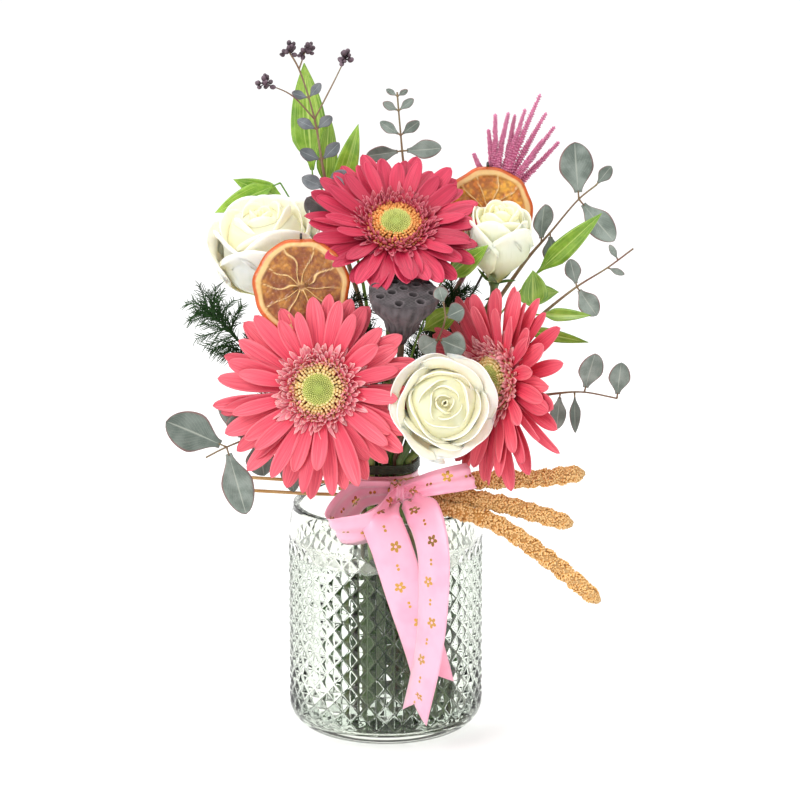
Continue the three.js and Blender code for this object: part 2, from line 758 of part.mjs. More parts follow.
function lotusPod() {
  const { radius, height, neck, rim, pit, pitDepth } = POD;
  const profile = [[0, -height], [neck, -height], [radius * 0.45, -height * 0.62], [radius * 0.93, -rim * 1.6], [radius, -rim / 2], [radius - 1, 0], [0, 0]];
  const rings = [[0, 1], [0.42, 4], [0.8, 8]];
  const pits = rings.flatMap(([share, count]) => Array.from({ length: count }, (_, i) => {
    const angle = (TURN * (i + share)) / count;
    const hole = new THREE.CylinderGeometry(pit, pit, 2 * pitDepth, 6).rotateX(Math.PI / 2);
    return solidOf(hole.translate(radius * share * Math.cos(angle), radius * share * Math.sin(angle), 0));
  }));
  const head = turned(profile, 20).subtract(join(pits));
  const at = vector(LOTUS.top);
  const along = direction(LOTUS.face).normalize();
  place('lotus_pod', stood(head, at, along), FINISH.pod);
  const foot = at.clone().addScaledVector(along, -height - GAP);
  headStem('lotus_stem', LOTUS, foot, along, STEM.pod, FINISH.stem);
}

function orangeSlice(name, slice) {
  const { rind, thickness } = SLICE;
  const { radius } = slice;
  const half = thickness / 2;
  const profile = [[0, -half + 0.6], [radius - rind, -half + 0.6], [radius - 1, -half], [radius, 0], [radius - 1, half], [radius - rind, half - 0.6], [0, half - 0.6]];
  const along = direction(slice.face).normalize();
  const at = vector(slice.centre);
  place(`${name}_slice`, stood(turned(profile, 28), at, along), FINISH.orange);
}

/** The wire that holds a slice: up its back, to a hook over its top edge. */
function sliceWire(name, slice) {
  const along = direction(slice.face).normalize();
  const up = new THREE.Vector3(0, 0, 1).addScaledVector(along, -along.z).normalize();
  const behind = -(SLICE.thickness + STEM.wire) / 2 - GAP;
  const onSlice = (rise, depth) => vector(slice.centre).addScaledVector(up, rise).addScaledVector(along, depth);
  const top = slice.radius + STEM.wire / 2 + GAP;
  const points = [
    ...slice.via.map(vector),
    onSlice(-slice.radius, behind),
    onSlice(slice.radius - 2, behind),
    onSlice(top + 1, behind / 2),
    onSlice(top - 1, -behind),
  ];
  place(`${name}_wire`, stemSolid(stemRoute(slice.slot, points), STEM.wire), FINISH.wire);
}

// ---------- Leafy stems ----------
/** A leaf blade from a stem's axis to its tip, its face to the front. */
function leaf(from, tip, width) {
  const along = tip.clone().sub(from);
  const shape = { length: along.length(), width, thickness: LEAF_THICKNESS, outline: leafOutline, curl: 0.2 };
  return laid(blade(shape), from, along, new THREE.Vector3(0.1, -1, 0.25));
}

/** Opposite pairs of leaves that shrink towards the tip of a stem. */
function leafPairs(curve, { from, to, count, length, width }, spans) {
  const solids = [];
  for (let i = 0; i < count; i += 1) {
    const share = count > 1 ? i / (count - 1) : 0;
    const t = (from + (to - from) * share) / spans;
    const reach = length[0] + (length[1] - length[0]) * share;
    const base = curve.getPoint(t);
    const tangent = curve.getTangent(t);
    const side = tangent.clone().cross(new THREE.Vector3(0, -1, 0)).normalize();
    for (const hand of [-1, 1]) {
      const tip = base.clone().addScaledVector(side, hand * reach * 0.8).addScaledVector(tangent, reach * 0.55);
      tip.y += (i % 2 ? 3 : -3) * hand;
      solids.push(leaf(base, tip, (width * reach) / length[0]));
    }
  }
  return solids;
}

/** A few round seeds at the end of a branch. */
function seedCluster(end) {
  const spots = [[0, 0, 0], [2, 0.6, 1.2], [-1.4, -0.6, 2]];
  return spots.map((spot) => {
    const seed = new THREE.OctahedronGeometry(SEED_RADIUS, 0);
    return solidOf(seed.translate(end.x + spot[0], end.y + spot[1], end.z + spot[2]));
  });
}

function leafyStem(name, { slot, route, branches = [], pairs, leaves = [], seeds = false }, width, finish) {
  const path = stemRoute(slot, route.map(vector));
  const curve = path.upper;
  const spans = route.length;
  const parts = [stemSolid(path, width)];
  const ends = [vector(route.at(-1))];
  for (const branch of branches) {
    const points = [curve.getPoint(branch.at / spans), ...branch.route.map(vector)];
    parts.push(rod(new THREE.CatmullRomCurve3(points), 0.6 * width, 2 * branch.route.length, 5));
    ends.push(points.at(-1));
  }
  for (const { at, tip, width: leafWidth } of leaves) {
    parts.push(leaf(curve.getPoint(at / spans), vector(tip), leafWidth));
  }
  if (pairs) {
    parts.push(...leafPairs(curve, pairs, spans));
  }
  if (seeds) {
    parts.push(...ends.flatMap(seedCluster));
  }
  place(name, join(parts), finish);
}

/** A feathery stem: side fronds all along its upper run, shorter towards the tip. */
function fern(name, { slot, route, fronds, frondLength }) {
  const path = stemRoute(slot, route.map(vector));
  const curve = path.upper;
  const parts = [stemSolid(path, STEM.fern)];
  for (let i = 0; i < fronds; i += 1) {
    const share = i / fronds;
    const t = 0.35 + 0.6 * share;
    const base = curve.getPoint(t);
    const tangent = curve.getTangent(t);
    const side = tangent.clone().cross(new THREE.Vector3(0, -1, 0)).normalize();
    const hand = i % 2 ? 1 : -1;
    const reach = frondLength * (1 - 0.5 * share);
    const end = base.clone().addScaledVector(side, hand * reach * 0.75).addScaledVector(tangent, reach * 0.65);
    end.y += (i % 3) * 3 - 3;
    parts.push(rod(new THREE.LineCurve3(base, end), 0.5 * STEM.fern, 1, 5));
  }
  place(name, join(parts), FINISH.fern);
}

function pinkSpikes() {
  const path = stemRoute(SPIKES.slot, SPIKES.route.map(vector));
  const base = vector(SPIKES.route.at(-1));
  const parts = [stemSolid(path, STEM.spikes)];
  for (const tipPoint of SPIKES.tips) {
    const along = vector(tipPoint).sub(base);
    const spike = new THREE.CylinderGeometry(SPIKE.tip, SPIKE.base, along.length(), 5).rotateX(Math.PI / 2);
    parts.push(stood(solidOf(spike.translate(0, 0, along.length() / 2)), base, along));
  }
  place('pink_spikes', join(parts), FINISH.spikes);
}

/** A straw laid across the front of the bundle, with a long seed head at its right end. */
function millet(name, { level, left, right }, lane) {
  const cross = vector([BOW.knot[0], lane, level]);
  const straw = new THREE.CatmullRomCurve3([...left.map(vector), cross, vector(right[0])]);
  const head = new THREE.CatmullRomCurve3([cross, ...right.map(vector)]);
  const widthAt = (t) => STRAW_WIDTH + (2 * MILLET_RADIUS - STRAW_WIDTH) * Math.sin(Math.PI * t ** 1.3) ** 0.5;
  place(name, rod(straw, STRAW_WIDTH, 8).add(taperedRod(head, widthAt, 8)), FINISH.millet);
}

// ---------- Assembly ----------
const tiedStems = [
  ...Object.values(GERBERAS).map((flower) => [flower.slot, STEM.gerbera]),
  ...Object.values(ROSES).map((flower) => [flower.slot, STEM.rose]),
  ...Object.values(SLICES).map((slice) => [slice.slot, STEM.wire]),
  ...Object.values(TWIGS).map((twig) => [twig.slot, STEM.twig]),
  ...Object.values(RUSCUS).map((spray) => [spray.slot, STEM.leafy]),
  ...Object.values(FERNS).map((plume) => [plume.slot, STEM.fern]),
  [LOTUS.slot, STEM.pod],
  [SPIKES.slot, STEM.spikes],
];

vase();
for (const [name, flower] of Object.entries(GERBERAS)) {
  gerberaStem(name, flower);
}
for (const [name, flower] of Object.entries(ROSES)) {
  roseStem(name, flower);
}
lotusPod();
place('binding', collar(GAP, BINDING.thickness, BINDING.bottom, BINDING.height), FINISH.binding);
place('ribbon_wrap', collar(GAP, RIBBON.thickness, RIBBON.wrapBottom, RIBBON.wrapHeight), FINISH.ribbon);
for (const [name, slice] of Object.entries(SLICES)) {
  orangeSlice(name, slice);
}
for (const [name, slice] of Object.entries(SLICES)) {
  sliceWire(name, slice);
}
for (const [name, flower] of Object.entries(ROSES)) {
  roseParts(name, flower);
}
for (const [name, flower] of Object.entries(GERBERAS)) {
  gerberaParts(name, flower);
}
for (const [name, straw] of Object.entries(MILLETS)) {
  millet(name, straw, -23.5);
}
bow();
for (const [name, twig] of Object.entries(TWIGS)) {
  leafyStem(name, twig, STEM.twig, FINISH.eucalyptus);
}
for (const [name, spray] of Object.entries(RUSCUS)) {
  leafyStem(name, spray, STEM.leafy, FINISH.ruscus);
}
for (const [name, plume] of Object.entries(FERNS)) {
  fern(name, plume);
}
pinkSpikes();
water();

export default group;
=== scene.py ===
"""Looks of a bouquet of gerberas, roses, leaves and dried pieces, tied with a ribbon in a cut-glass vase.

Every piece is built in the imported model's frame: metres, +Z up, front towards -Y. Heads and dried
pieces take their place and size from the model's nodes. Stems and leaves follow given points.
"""

import logging
import math
from dataclasses import dataclass, field
from enum import Enum
from typing import Callable, Iterator

import bpy
import numpy as np
from mathutils import Matrix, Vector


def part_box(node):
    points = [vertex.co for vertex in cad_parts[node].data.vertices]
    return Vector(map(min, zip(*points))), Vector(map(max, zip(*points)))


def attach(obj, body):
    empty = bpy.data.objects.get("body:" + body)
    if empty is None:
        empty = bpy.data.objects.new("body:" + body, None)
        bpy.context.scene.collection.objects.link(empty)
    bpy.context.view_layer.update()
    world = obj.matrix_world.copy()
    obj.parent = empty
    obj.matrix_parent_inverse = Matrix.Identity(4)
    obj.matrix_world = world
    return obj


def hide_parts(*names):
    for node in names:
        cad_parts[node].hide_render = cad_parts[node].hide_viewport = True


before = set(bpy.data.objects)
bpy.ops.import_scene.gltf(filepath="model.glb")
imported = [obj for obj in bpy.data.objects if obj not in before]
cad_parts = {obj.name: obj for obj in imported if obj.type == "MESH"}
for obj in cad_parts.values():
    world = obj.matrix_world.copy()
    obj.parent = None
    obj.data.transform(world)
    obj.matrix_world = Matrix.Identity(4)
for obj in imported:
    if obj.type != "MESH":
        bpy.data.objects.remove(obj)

LOG = logging.getLogger("bouquet")
BODY = "root"
MM = 0.001
TURN = 2 * math.pi
GOLDEN_ANGLE = math.pi * (3 - math.sqrt(5))
Array = np.ndarray
Point = tuple[float, float, float]
Colour = tuple[float, float, float, float]


# ---------------------------------------------------------------- numbers and curves
def metres(points: list[Point] | Point) -> Array:
    """Points given in millimetres, as an array in metres."""
    return np.asarray(points, float) * MM


def unit(v: Array) -> Array:
    """A vector, or each row of an array of vectors, at length one."""
    return v / np.maximum(np.linalg.norm(v, axis=-1, keepdims=True), 1e-12)


def smooth(low: float, high: float, x: Array) -> Array:
    """A smooth step from 0 at low to 1 at high."""
    t = np.clip((np.asarray(x, float) - low) / (high - low), 0, 1)
    return t * t * (3 - 2 * t)


def keyed(t: Array, keys: list[tuple[float, float]]) -> Array:
    """Values that run smoothly through (position, value) keys."""
    out = np.full(np.shape(t), keys[0][1], float)
    for (a, va), (b, vb) in zip(keys, keys[1:]):
        out += (vb - va) * smooth(a, b, t)
    return out


def round_turn(count: int) -> Array:
    """Even angles, once round."""
    return np.arange(count) * TURN / count


def revolve(radius: Array, angle: Array, z: Array | float) -> Array:
    """Points from radii, angles and heights, which are stretched to one shape."""
    return np.stack(np.broadcast_arrays(radius * np.cos(angle), radius * np.sin(angle), z), -1)


def through(points: Array, per_span: int = 8) -> Array:
    """A smooth curve through points, paced by the root of their spacing.

    Args:
        points: at least two points.
        per_span: samples in each span.

    Returns:
        The sampled curve, both ends included.
    """
    p = np.vstack([2 * points[0] - points[1], points, 2 * points[-1] - points[-2]])
    out = []
    for i in range(len(points) - 1):
        a, b, c, d = p[i : i + 4]
        k = [max(math.sqrt(np.linalg.norm(q - r)), 1e-6) for q, r in ((a, b), (b, c), (c, d))]
        m0 = ((b - a) / k[0] - (c - a) / (k[0] + k[1]) + (c - b) / k[1]) * k[1]
        m1 = ((c - b) / k[1] - (d - b) / (k[1] + k[2]) + (d - c) / k[2]) * k[1]
        t = np.linspace(0, 1, per_span, endpoint=False)[:, None]
        out.append(
            (2 * t**3 - 3 * t**2 + 1) * b
            + (t**3 - 2 * t**2 + t) * m0
            + (3 * t**2 - 2 * t**3) * c
            + (t**3 - t**2) * m1
        )
    return np.vstack([*out, points[-1:]])


def along_line(line: Array, share: float) -> tuple[Array, Array]:
    """A point on a sampled line, by its share of the samples, and the line's direction there."""
    s = np.clip(share, 0, 1) * (len(line) - 1)
    i = min(int(s), len(line) - 2)
    return line[i] + (s - i) * (line[i + 1] - line[i]), unit(line[i + 1] - line[i])


def line_length(line: Array) -> float:
    """The length of a sampled line."""
    return float(np.linalg.norm(np.diff(line, axis=0), axis=1).sum())


def carried_frames(line: Array) -> tuple[Array, Array, Array]:
    """Tangents, normals and binormals, carried along a line without twisting."""
    tangents = unit(np.gradient(line, axis=0))
    guess = np.array([0.0, -1.0, 0.3])
    normal = unit(guess - tangents[0] * (guess @ tangents[0]))
    normals = []
    for t in tangents:
        normal = unit(normal - t * (normal @ t))
        normals.append(normal)
    normals = np.array(normals)
    return tangents, normals, np.cross(tangents, normals)


@dataclass
class Seat:
    """A place with three directions: z is the way that a head faces."""

    origin: Array
    x: Array
    y: Array
    z: Array

    @classmethod
    def facing(cls, origin: Array, way: Array, up: Array | None = None) -> "Seat":
        """A seat whose z is way and whose y is as near to up as it can be."""
        z = unit(way)
        hint = up if up is not None else np.array([0.0, 0.0, 1.0])
        if abs(z @ unit(hint)) > 0.97:
            hint = np.array([0.0, 1.0, 0.0])
        x = unit(np.cross(hint, z))
        return cls(np.asarray(origin, float), x, np.cross(z, x), z)

    @property
    def axes(self) -> Array:
        """Its three directions, one row each."""
        return np.stack([self.x, self.y, self.z])

    def out(self, angle: float) -> Array:
        """The direction away from its z at an angle."""
        return self.x * math.cos(angle) + self.y * math.sin(angle)

    def put(self, points: Array) -> Array:
        """Local points, moved to the seat."""
        return self.origin + points @ self.axes

    def local(self, points: Array) -> Array:
        """Points of the whole object, as the seat sees them."""
        return (points - self.origin) @ self.axes.T


# ---------------------------------------------------------------- meshes
def grid_faces(rows: int, columns: int, closed: bool) -> Array:
    """Four corners for each face of a grid of points, whose rows may each be a ring."""
    i, j = np.meshgrid(np.arange(rows - 1), np.arange(columns if closed else columns - 1), indexing="ij")
    k = (j + 1) % columns
    corners = (i * columns + j, i * columns + k, (i + 1) * columns + k, (i + 1) * columns + j)
    return np.stack(corners, -1).reshape(-1, 4)


class Shell:
    """A mesh that is being put together, with values for each point that its finish reads."""

    def __init__(self) -> None:
        """Starts empty."""
        self.points: list[Array] = []
        self.faces: list[Array] = []
        self.values: dict[str, list[Array]] = {"along": [], "across": [], "tone": []}
        self.count = 0

    def add(self, points: Array, faces: Array, **values: Array | float) -> None:
        """Adds points and the faces between them.

        Args:
            points: one row for each point.
            faces: indices into these points, one row for each face.
            **values: along, across and tone, one number each or one for all.
        """
        self.points.append(points)
        self.faces.append(faces + self.count)
        for name, kept in self.values.items():
            kept.append(np.broadcast_to(np.asarray(values.get(name, 0.0), float).ravel(), (len(points),)))
        self.count += len(points)

    def grid(self, points: Array, closed: bool = False, **values: Array | float) -> None:
        """Adds a surface from rows of points.

        Args:
            points: an array of rows, columns and three coordinates.
            closed: whether each row's last point joins its first.
            **values: as for add, in a shape that stretches to the grid's own.
        """
        rows, columns = points.shape[:2]
        values = {name: np.broadcast_to(value, (rows, columns)) for name, value in values.items()}
        self.add(points.reshape(-1, 3), grid_faces(rows, columns, closed), **values)

    def tube(self, line: Array, radii: Array | float, sides: int = 8, **values: Array | float) -> None:
        """Adds a round tube along a line, drawn together at both ends."""
        _, normals, binormals = carried_frames(line)
        radius = np.broadcast_to(np.asarray(radii, float), (len(line),)).copy()
        angle = round_turn(sides)
        ring = normals[:, None] * np.cos(angle)[:, None] + binormals[:, None] * np.sin(angle)[:, None]
        points = line[:, None] + ring * radius[:, None, None]
        points = np.concatenate([line[None, :1].repeat(sides, 1), points, line[None, -1:].repeat(sides, 1)])
        along = np.linspace(0, 1, len(line) + 2)[:, None]
        self.grid(points, closed=True, **{"along": along, "across": np.cos(angle), **values})

    def build(self, name: str, finish: "Finish", thickness: float = 0.0) -> bpy.types.Object:
        """Makes the object.

        Args:
            name: the piece's name.
            finish: what it is made of.
            thickness: of the sheet, in metres, or 0 for a mesh that is already closed.

        Returns:
            The new object, linked to the scene.
        """
        mesh = bpy.data.meshes.new(name)
        points = np.vstack(self.points)
        mesh.from_pydata(points.tolist(), [], [f for block in self.faces for f in block.tolist()])
        for value, kept in self.values.items():
            layer = mesh.attributes.new(value, "FLOAT", "POINT")
            layer.data.foreach_set("value", np.concatenate(kept).astype(np.float32))
        mesh.validate()
        mesh.polygons.foreach_set("use_smooth", [True] * len(mesh.polygons))
        mesh.materials.append(finish.material())
        piece = bpy.data.objects.new(name, mesh)
        bpy.context.scene.collection.objects.link(piece)
        if thickness:
            solidify = piece.modifiers.new("thickness", "SOLIDIFY")
            solidify.thickness = thickness
            solidify.offset = 0.0
        return piece


def show(piece: bpy.types.Object, slot: str, *nodes: str) -> bpy.types.Object:
    """Fixes a piece to the body, in place of the nodes it stands for."""
    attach(piece, BODY)
    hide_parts(*nodes)
    LOG.info("%s: %d points", piece.name, len(piece.data.vertices))
    return piece


def paint(piece: bpy.types.Object, finish: "Finish", where: Callable[[Array], Array]) -> None:
    """Gives a clear piece a second finish on the faces whose middles pass a test."""
    piece.data.materials.append(finish.material())
    middles = np.zeros(len(piece.data.polygons) * 3, np.float32)
    piece.data.polygons.foreach_get("center", middles)
    piece.data.polygons.foreach_set("material_index", where(middles.reshape(-1, 3)).astype(np.int32))
    piece.visible_shadow = False


def node_points(name: str) -> Array:
    """The corners of a model node, one row each, in metres."""
    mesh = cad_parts[name].data
    out = np.zeros(len(mesh.vertices) * 3, np.float32)
    mesh.vertices.foreach_get("co", out)
    return out.reshape(-1, 3).astype(float)


def turned_axis(name: str, thin: bool) -> tuple[Array, Array]:
    """The middle and the axis of a node that was turned on a lathe.

    Args:
        name: the node.
        thin: whether it is a plate, whose axis is its thin way, or a rod, whose axis is its long way.

    Returns:
        The middle of its corners, and its axis.
    """
    points = np.unique(np.round(node_points(name), 6), axis=0)
    middle = points.mean(0)
    _, ways = np.linalg.eigh(np.cov((points - middle).T))
    return middle, ways[:, 0 if thin else 2]


# ---------------------------------------------------------------- shader helpers
def colour(text: str) -> Colour:
    """A colour for a socket, from its six-digit screen value."""
    values = [int(text[i : i + 2], 16) / 255 for i in (1, 3, 5)]
    return (*[v / 12.92 if v <= 0.04045 else ((v + 0.055) / 1.055) ** 2.4 for v in values], 1.0)


Socket = bpy.types.NodeSocket
Value = Socket | float | tuple | str


class Wiring:
    """A node tree with short ways to add and join nodes."""

    def __init__(self, tree: bpy.types.NodeTree) -> None:
        """Wraps a tree."""
        self.tree = tree

    def node(self, kind: str, **settings: object) -> bpy.types.Node:
        """A new node, with its settings."""
        made = self.tree.nodes.new(kind)
        for name, value in settings.items():
            setattr(made, name, value)
        return made

    def feed(self, socket: Socket, value: Value) -> None:
        """Joins a socket to another, or sets its value, which may be a colour's text."""
        if isinstance(value, bpy.types.NodeSocket):
            self.tree.links.new(value, socket)
        else:
            socket.default_value = colour(value) if isinstance(value, str) else value

    def attribute(self, name: str) -> Socket:
        """One of the mesh's own values."""
        return self.node("ShaderNodeAttribute", attribute_name=name).outputs["Fac"]

    def values(self) -> tuple[Socket, Socket, Socket]:
        """The mesh's along, across and tone."""
        return self.attribute("along"), self.attribute("across"), self.attribute("tone")

    def place(self) -> Socket:
        """The piece's own coordinates, in metres."""
        return self.node("ShaderNodeTexCoord").outputs["Object"]

    def math(self, operation: str, a: Value, b: Value = 0.0, c: Value = 0.0, clamp: bool = False) -> Socket:
        """One sum."""
        made = self.node("ShaderNodeMath", operation=operation, use_clamp=clamp)
        for socket, value in zip(made.inputs, (a, b, c)):
            self.feed(socket, value)
        return made.outputs[0]

    def times(self, a: Value, b: Value) -> Socket:
        """A product."""
        return self.math("MULTIPLY", a, b)

    def size(self, a: Value, b: Value) -> Socket:
        """The length of a flat vector."""
        return self.math("SQRT", self.math("ADD", self.times(a, a), self.times(b, b)))

    def step(self, value: Value, low: float, high: float) -> Socket:
        """A smooth step of a value from 0 at low to 1 at high."""
        made = self.node("ShaderNodeMapRange", interpolation_type="SMOOTHSTEP")
        for name, given in (("Value", value), ("From Min", low), ("From Max", high)):
            self.feed(made.inputs[name], given)
        return made.outputs[0]

    def mix(self, share: Value, a: Value, b: Value) -> Socket:
        """A mix of two colours."""
        made = self.node("ShaderNodeMix", data_type="RGBA")
        for i, value in ((0, share), (6, a), (7, b)):
            self.feed(made.inputs[i], value)
        return made.outputs[2]

    def over(self, base: Value, mask: Value, share: Value, tint: Value) -> Socket:
        """A colour, with a share of another over it where a mask says."""
        return self.mix(self.times(mask, share), base, tint)

    def ramp(self, value: Value, *stops: tuple[float, str]) -> Socket:
        """A colour that runs through stops."""
        made = self.node("ShaderNodeValToRGB")
        elements = made.color_ramp.elements
        for i, (position, tint) in enumerate(stops):
            element = elements[i] if i < 2 else elements.new(position)
            element.position = position
            element.color = colour(tint)
        self.feed(made.inputs[0], value)
        return made.outputs[0]

    def noise(self, where: Value, scale: float, detail: float) -> Socket:
        """Soft noise, from 0 to 1."""
        made = self.node("ShaderNodeTexNoise")
        for name, value in (("Vector", where), ("Scale", scale), ("Detail", detail), ("Roughness", 0.55)):
            self.feed(made.inputs[name], value)
        return made.outputs[0]

    def stretched(self, x: Value, y: Value, z: Value) -> Socket:
        """A vector of three values."""
        made = self.node("ShaderNodeCombineXYZ")
        for socket, value in zip(made.inputs, (x, y, z)):
            self.feed(socket, value)
        return made.outputs[0]

    def bump(self, height: Value, strength: float, distance: float) -> Socket:
        """A normal from a height."""
        made = self.node("ShaderNodeBump")
        for name, value in (("Height", height), ("Strength", strength), ("Distance", distance)):
            self.feed(made.inputs[name], value)
        return made.outputs[0]

    def group(self, tree: bpy.types.NodeTree, **inputs: Value) -> bpy.types.Node:
        """One of the shared effects, with its inputs given by name, _ for each space."""
        made = self.node("ShaderNodeGroup", node_tree=tree)
        for name, value in inputs.items():
            self.feed(made.inputs[name.replace("_", " ")], value)
        return made

    def fibres(self, count: float, wander: float) -> Socket:
        """Fine lines along the mesh, which differ with its tone."""
        along, across, tone = self.values()
        return self.group(fibre_effect(), Along=along, Across=across, Count=count, Wander=wander, Seed=tone).outputs[0]

    def mottle(self, first: str, second: str, patch: float, grain: float) -> tuple[Socket, Socket]:
        """Two colours in patches, and their height."""
        made = self.group(mottle_effect(), First=first, Second=second, Patch=patch, Grain=grain)
        return made.outputs["Color"], made.outputs["Height"]

    def dress(self, shader: bpy.types.Node, base: Value, height: Socket, strength: float, distance: float) -> None:
        """Gives a shader its colour and its bumps."""
        self.feed(shader.inputs["Base Color"], base)
        self.feed(shader.inputs["Normal"], self.bump(height, strength, distance))


def effect(name: str, inputs: dict[str, float | Colour], outputs: dict[str, str]) -> tuple[Wiring, dict, dict] | None:
    """A new node group with named inputs and outputs, or None if it was made before.

    Args:
        name: the group's name.
        inputs: each input's name and usual value.
        outputs: each output's name and socket type.

    Returns:
        Its wiring, and its inner input and output sockets by name.
    """
    if name in bpy.data.node_groups:
        return None
    tree = bpy.data.node_groups.new(name, "ShaderNodeTree")
    for label, usual in inputs.items():
        kind = "NodeSocketColor" if isinstance(usual, tuple) else "NodeSocketFloat"
        tree.interface.new_socket(label, in_out="INPUT", socket_type=kind).default_value = usual
    for label, kind in outputs.items():
        tree.interface.new_socket(label, in_out="OUTPUT", socket_type=kind)
    wiring = Wiring(tree)
    return wiring, wiring.node("NodeGroupInput").outputs, wiring.node("NodeGroupOutput").inputs


def fibre_effect() -> bpy.types.NodeTree:
    """Fine lines that run the length of a petal, blade or stem, with a little waviness."""
    made = effect(
        "fibres",
        {"Along": 0.0, "Across": 0.0, "Count": 20.0, "Wander": 1.0, "Seed": 0.0},
        {"Lines": "NodeSocketFloat"},
    )
    if made:
        w, given, out = made
        where = w.stretched(
            w.times(given["Across"], given["Count"]),
            w.times(given["Along"], given["Wander"]),
            w.times(given["Seed"], 37.0),
        )
        w.feed(out["Lines"], w.noise(where, 1.0, 2.0))
    return bpy.data.node_groups["fibres"]


def vein_effect() -> bpy.types.NodeTree:
    """A leaf's midrib and the side veins that slant away from it."""
    made = effect(
        "veins",
        {"Along": 0.0, "Across": 0.0, "Count": 9.0, "Slant": 0.5, "Width": 0.06, "Sides": 1.0},
        {"Mask": "NodeSocketFloat"},
    )
    if made:
        w, given, out = made
        away = w.math("ABSOLUTE", given["Across"])
        rib = w.math("SUBTRACT", 1.0, w.step(away, 0.0, 0.09))
        slanted = w.math("MULTIPLY_ADD", away, w.times(given["Slant"], -1.0), given["Along"])
        wave = w.math("ABSOLUTE", w.math("SUBTRACT", w.math("FRACT", w.times(slanted, given["Count"])), 0.5))
        side = w.math("SUBTRACT", 1.0, w.math("DIVIDE", wave, given["Width"], clamp=True), clamp=True)
        side = w.times(side, given["Sides"])
        w.feed(out["Mask"], w.math("MAXIMUM", rib, w.times(side, 0.55)))
    return bpy.data.node_groups["veins"]


def mottle_effect() -> bpy.types.NodeTree:
    """Two colours in soft patches with fine grain over them."""
    made = effect(
        "mottle",
        {
            "First": (1.0, 1.0, 1.0, 1.0), "Second": (0.5, 0.5, 0.5, 1.0), "Patch": 90.0, "Grain": 900.0,
            "Grain Share": 0.25
        },
        {"Color": "NodeSocketColor", "Height": "NodeSocketFloat"},
    )
    if made:
        w, given, out = made
        where = w.place()
        patch, grain = w.node("ShaderNodeTexNoise"), w.node("ShaderNodeTexNoise")
        for node, scale in ((patch, "Patch"), (grain, "Grain")):
            w.feed(node.inputs["Vector"], where)
            w.feed(node.inputs["Scale"], given[scale])
        speckle = w.times(w.math("SUBTRACT", grain.outputs[0], 0.5), given["Grain Share"])
        both = w.math("ADD", patch.outputs[0], speckle)
        w.feed(out["Color"], w.mix(w.step(both, 0.3, 0.7), given["First"], given["Second"]))
        w.feed(out["Height"], both)
    return bpy.data.node_groups["mottle"]


# ---------------------------------------------------------------- finishes
@dataclass(frozen=True)
class Finish:
    """What a piece is made of. Each kind of finish wires its own colours and heights."""

    name: str
    roughness: float = 0.5
    subsurface: float = 0.0
    sheen: float = 0.0
    coat: float = 0.0
    specular: float = 0.5

    def material(self) -> bpy.types.Material:
        """The finish's material, made once."""
        made = bpy.data.materials.get(self.name)
        if made is None:
            made = bpy.data.materials.new(self.name)
            made.use_nodes = True
            shader = made.node_tree.nodes["Principled BSDF"]
            settings = {
                "Roughness": self.roughness,
                "Subsurface Weight": self.subsurface,
                "Subsurface Radius": (1.0, 0.8, 0.55),
                "Subsurface Scale": 4 * MM,
                "Sheen Weight": self.sheen,
                "Coat Weight": self.coat,
                "Specular IOR Level": self.specular,
            }
            for name, value in settings.items():
                shader.inputs[name].default_value = value
            self.wire(Wiring(made.node_tree), shader)
        return made

    def wire(self, w: Wiring, shader: bpy.types.Node) -> None:
        """Feeds the shader. Each kind of finish has its own."""
        raise NotImplementedError


@dataclass(frozen=True)
class PetalFinish(Finish):
    """A ray petal: its colour changes from root to tip and towards its edges, with fine grooves that carry painted
    shade, and painted highlights on the ridges between them.
    """

    root: str = "#e8546a"
    middle: str = "#ee5a6c"
    tip: str = "#f2808a"
    edge: str = "#f6a3a6"
    shade: str = "#c02545"
    grooves: float = 9.0

    def wire(self, w: Wiring, shader: bpy.types.Node) -> None:
        """Feeds the shader."""
        along, across, tone = w.values()
        base = w.ramp(along, (0.0, self.root), (0.45, self.middle), (1.0, self.tip))
        lines = w.fibres(self.grooves, 1.6)
        # painted shade: darker where the fibre lines sink into grooves
        base = w.over(base, w.step(lines, 0.62, 0.3), 0.5, self.shade)
        # painted highlight: lighter where the fibre lines rise into ridges
        base = w.over(base, w.step(lines, 0.58, 0.78), 0.4, self.edge)
        base = w.over(base, w.step(w.math("ABSOLUTE", across), 0.72, 1.1), 0.3, self.edge)
        base = w.over(base, w.step(tone, 0.35, 1.0), 0.3, self.shade)
        w.dress(shader, base, lines, 0.5, 0.6 * MM)


@dataclass(frozen=True)
class RosePetalFinish(Finish):
    """A pale petal, greener at its root and creamier in its heart, with faint veins."""

    root: str = "#dfe2a0"
    middle: str = "#f8f3d2"
    lip: str = "#fffdf2"
    heart: str = "#f6ecb4"

    def wire(self, w: Wiring, shader: bpy.types.Node) -> None:
        """Feeds the shader."""
        along, _, tone = w.values()
        base = w.ramp(along, (0.0, self.root), (0.42, self.middle), (1.0, self.lip))
        base = w.over(base, tone, 0.75, self.heart)
        lines = w.fibres(16.0, 3.0)
        base = w.over(base, w.step(lines, 0.55, 0.75), 0.16, self.root)
        w.dress(shader, base, lines, 0.25, 0.4 * MM)


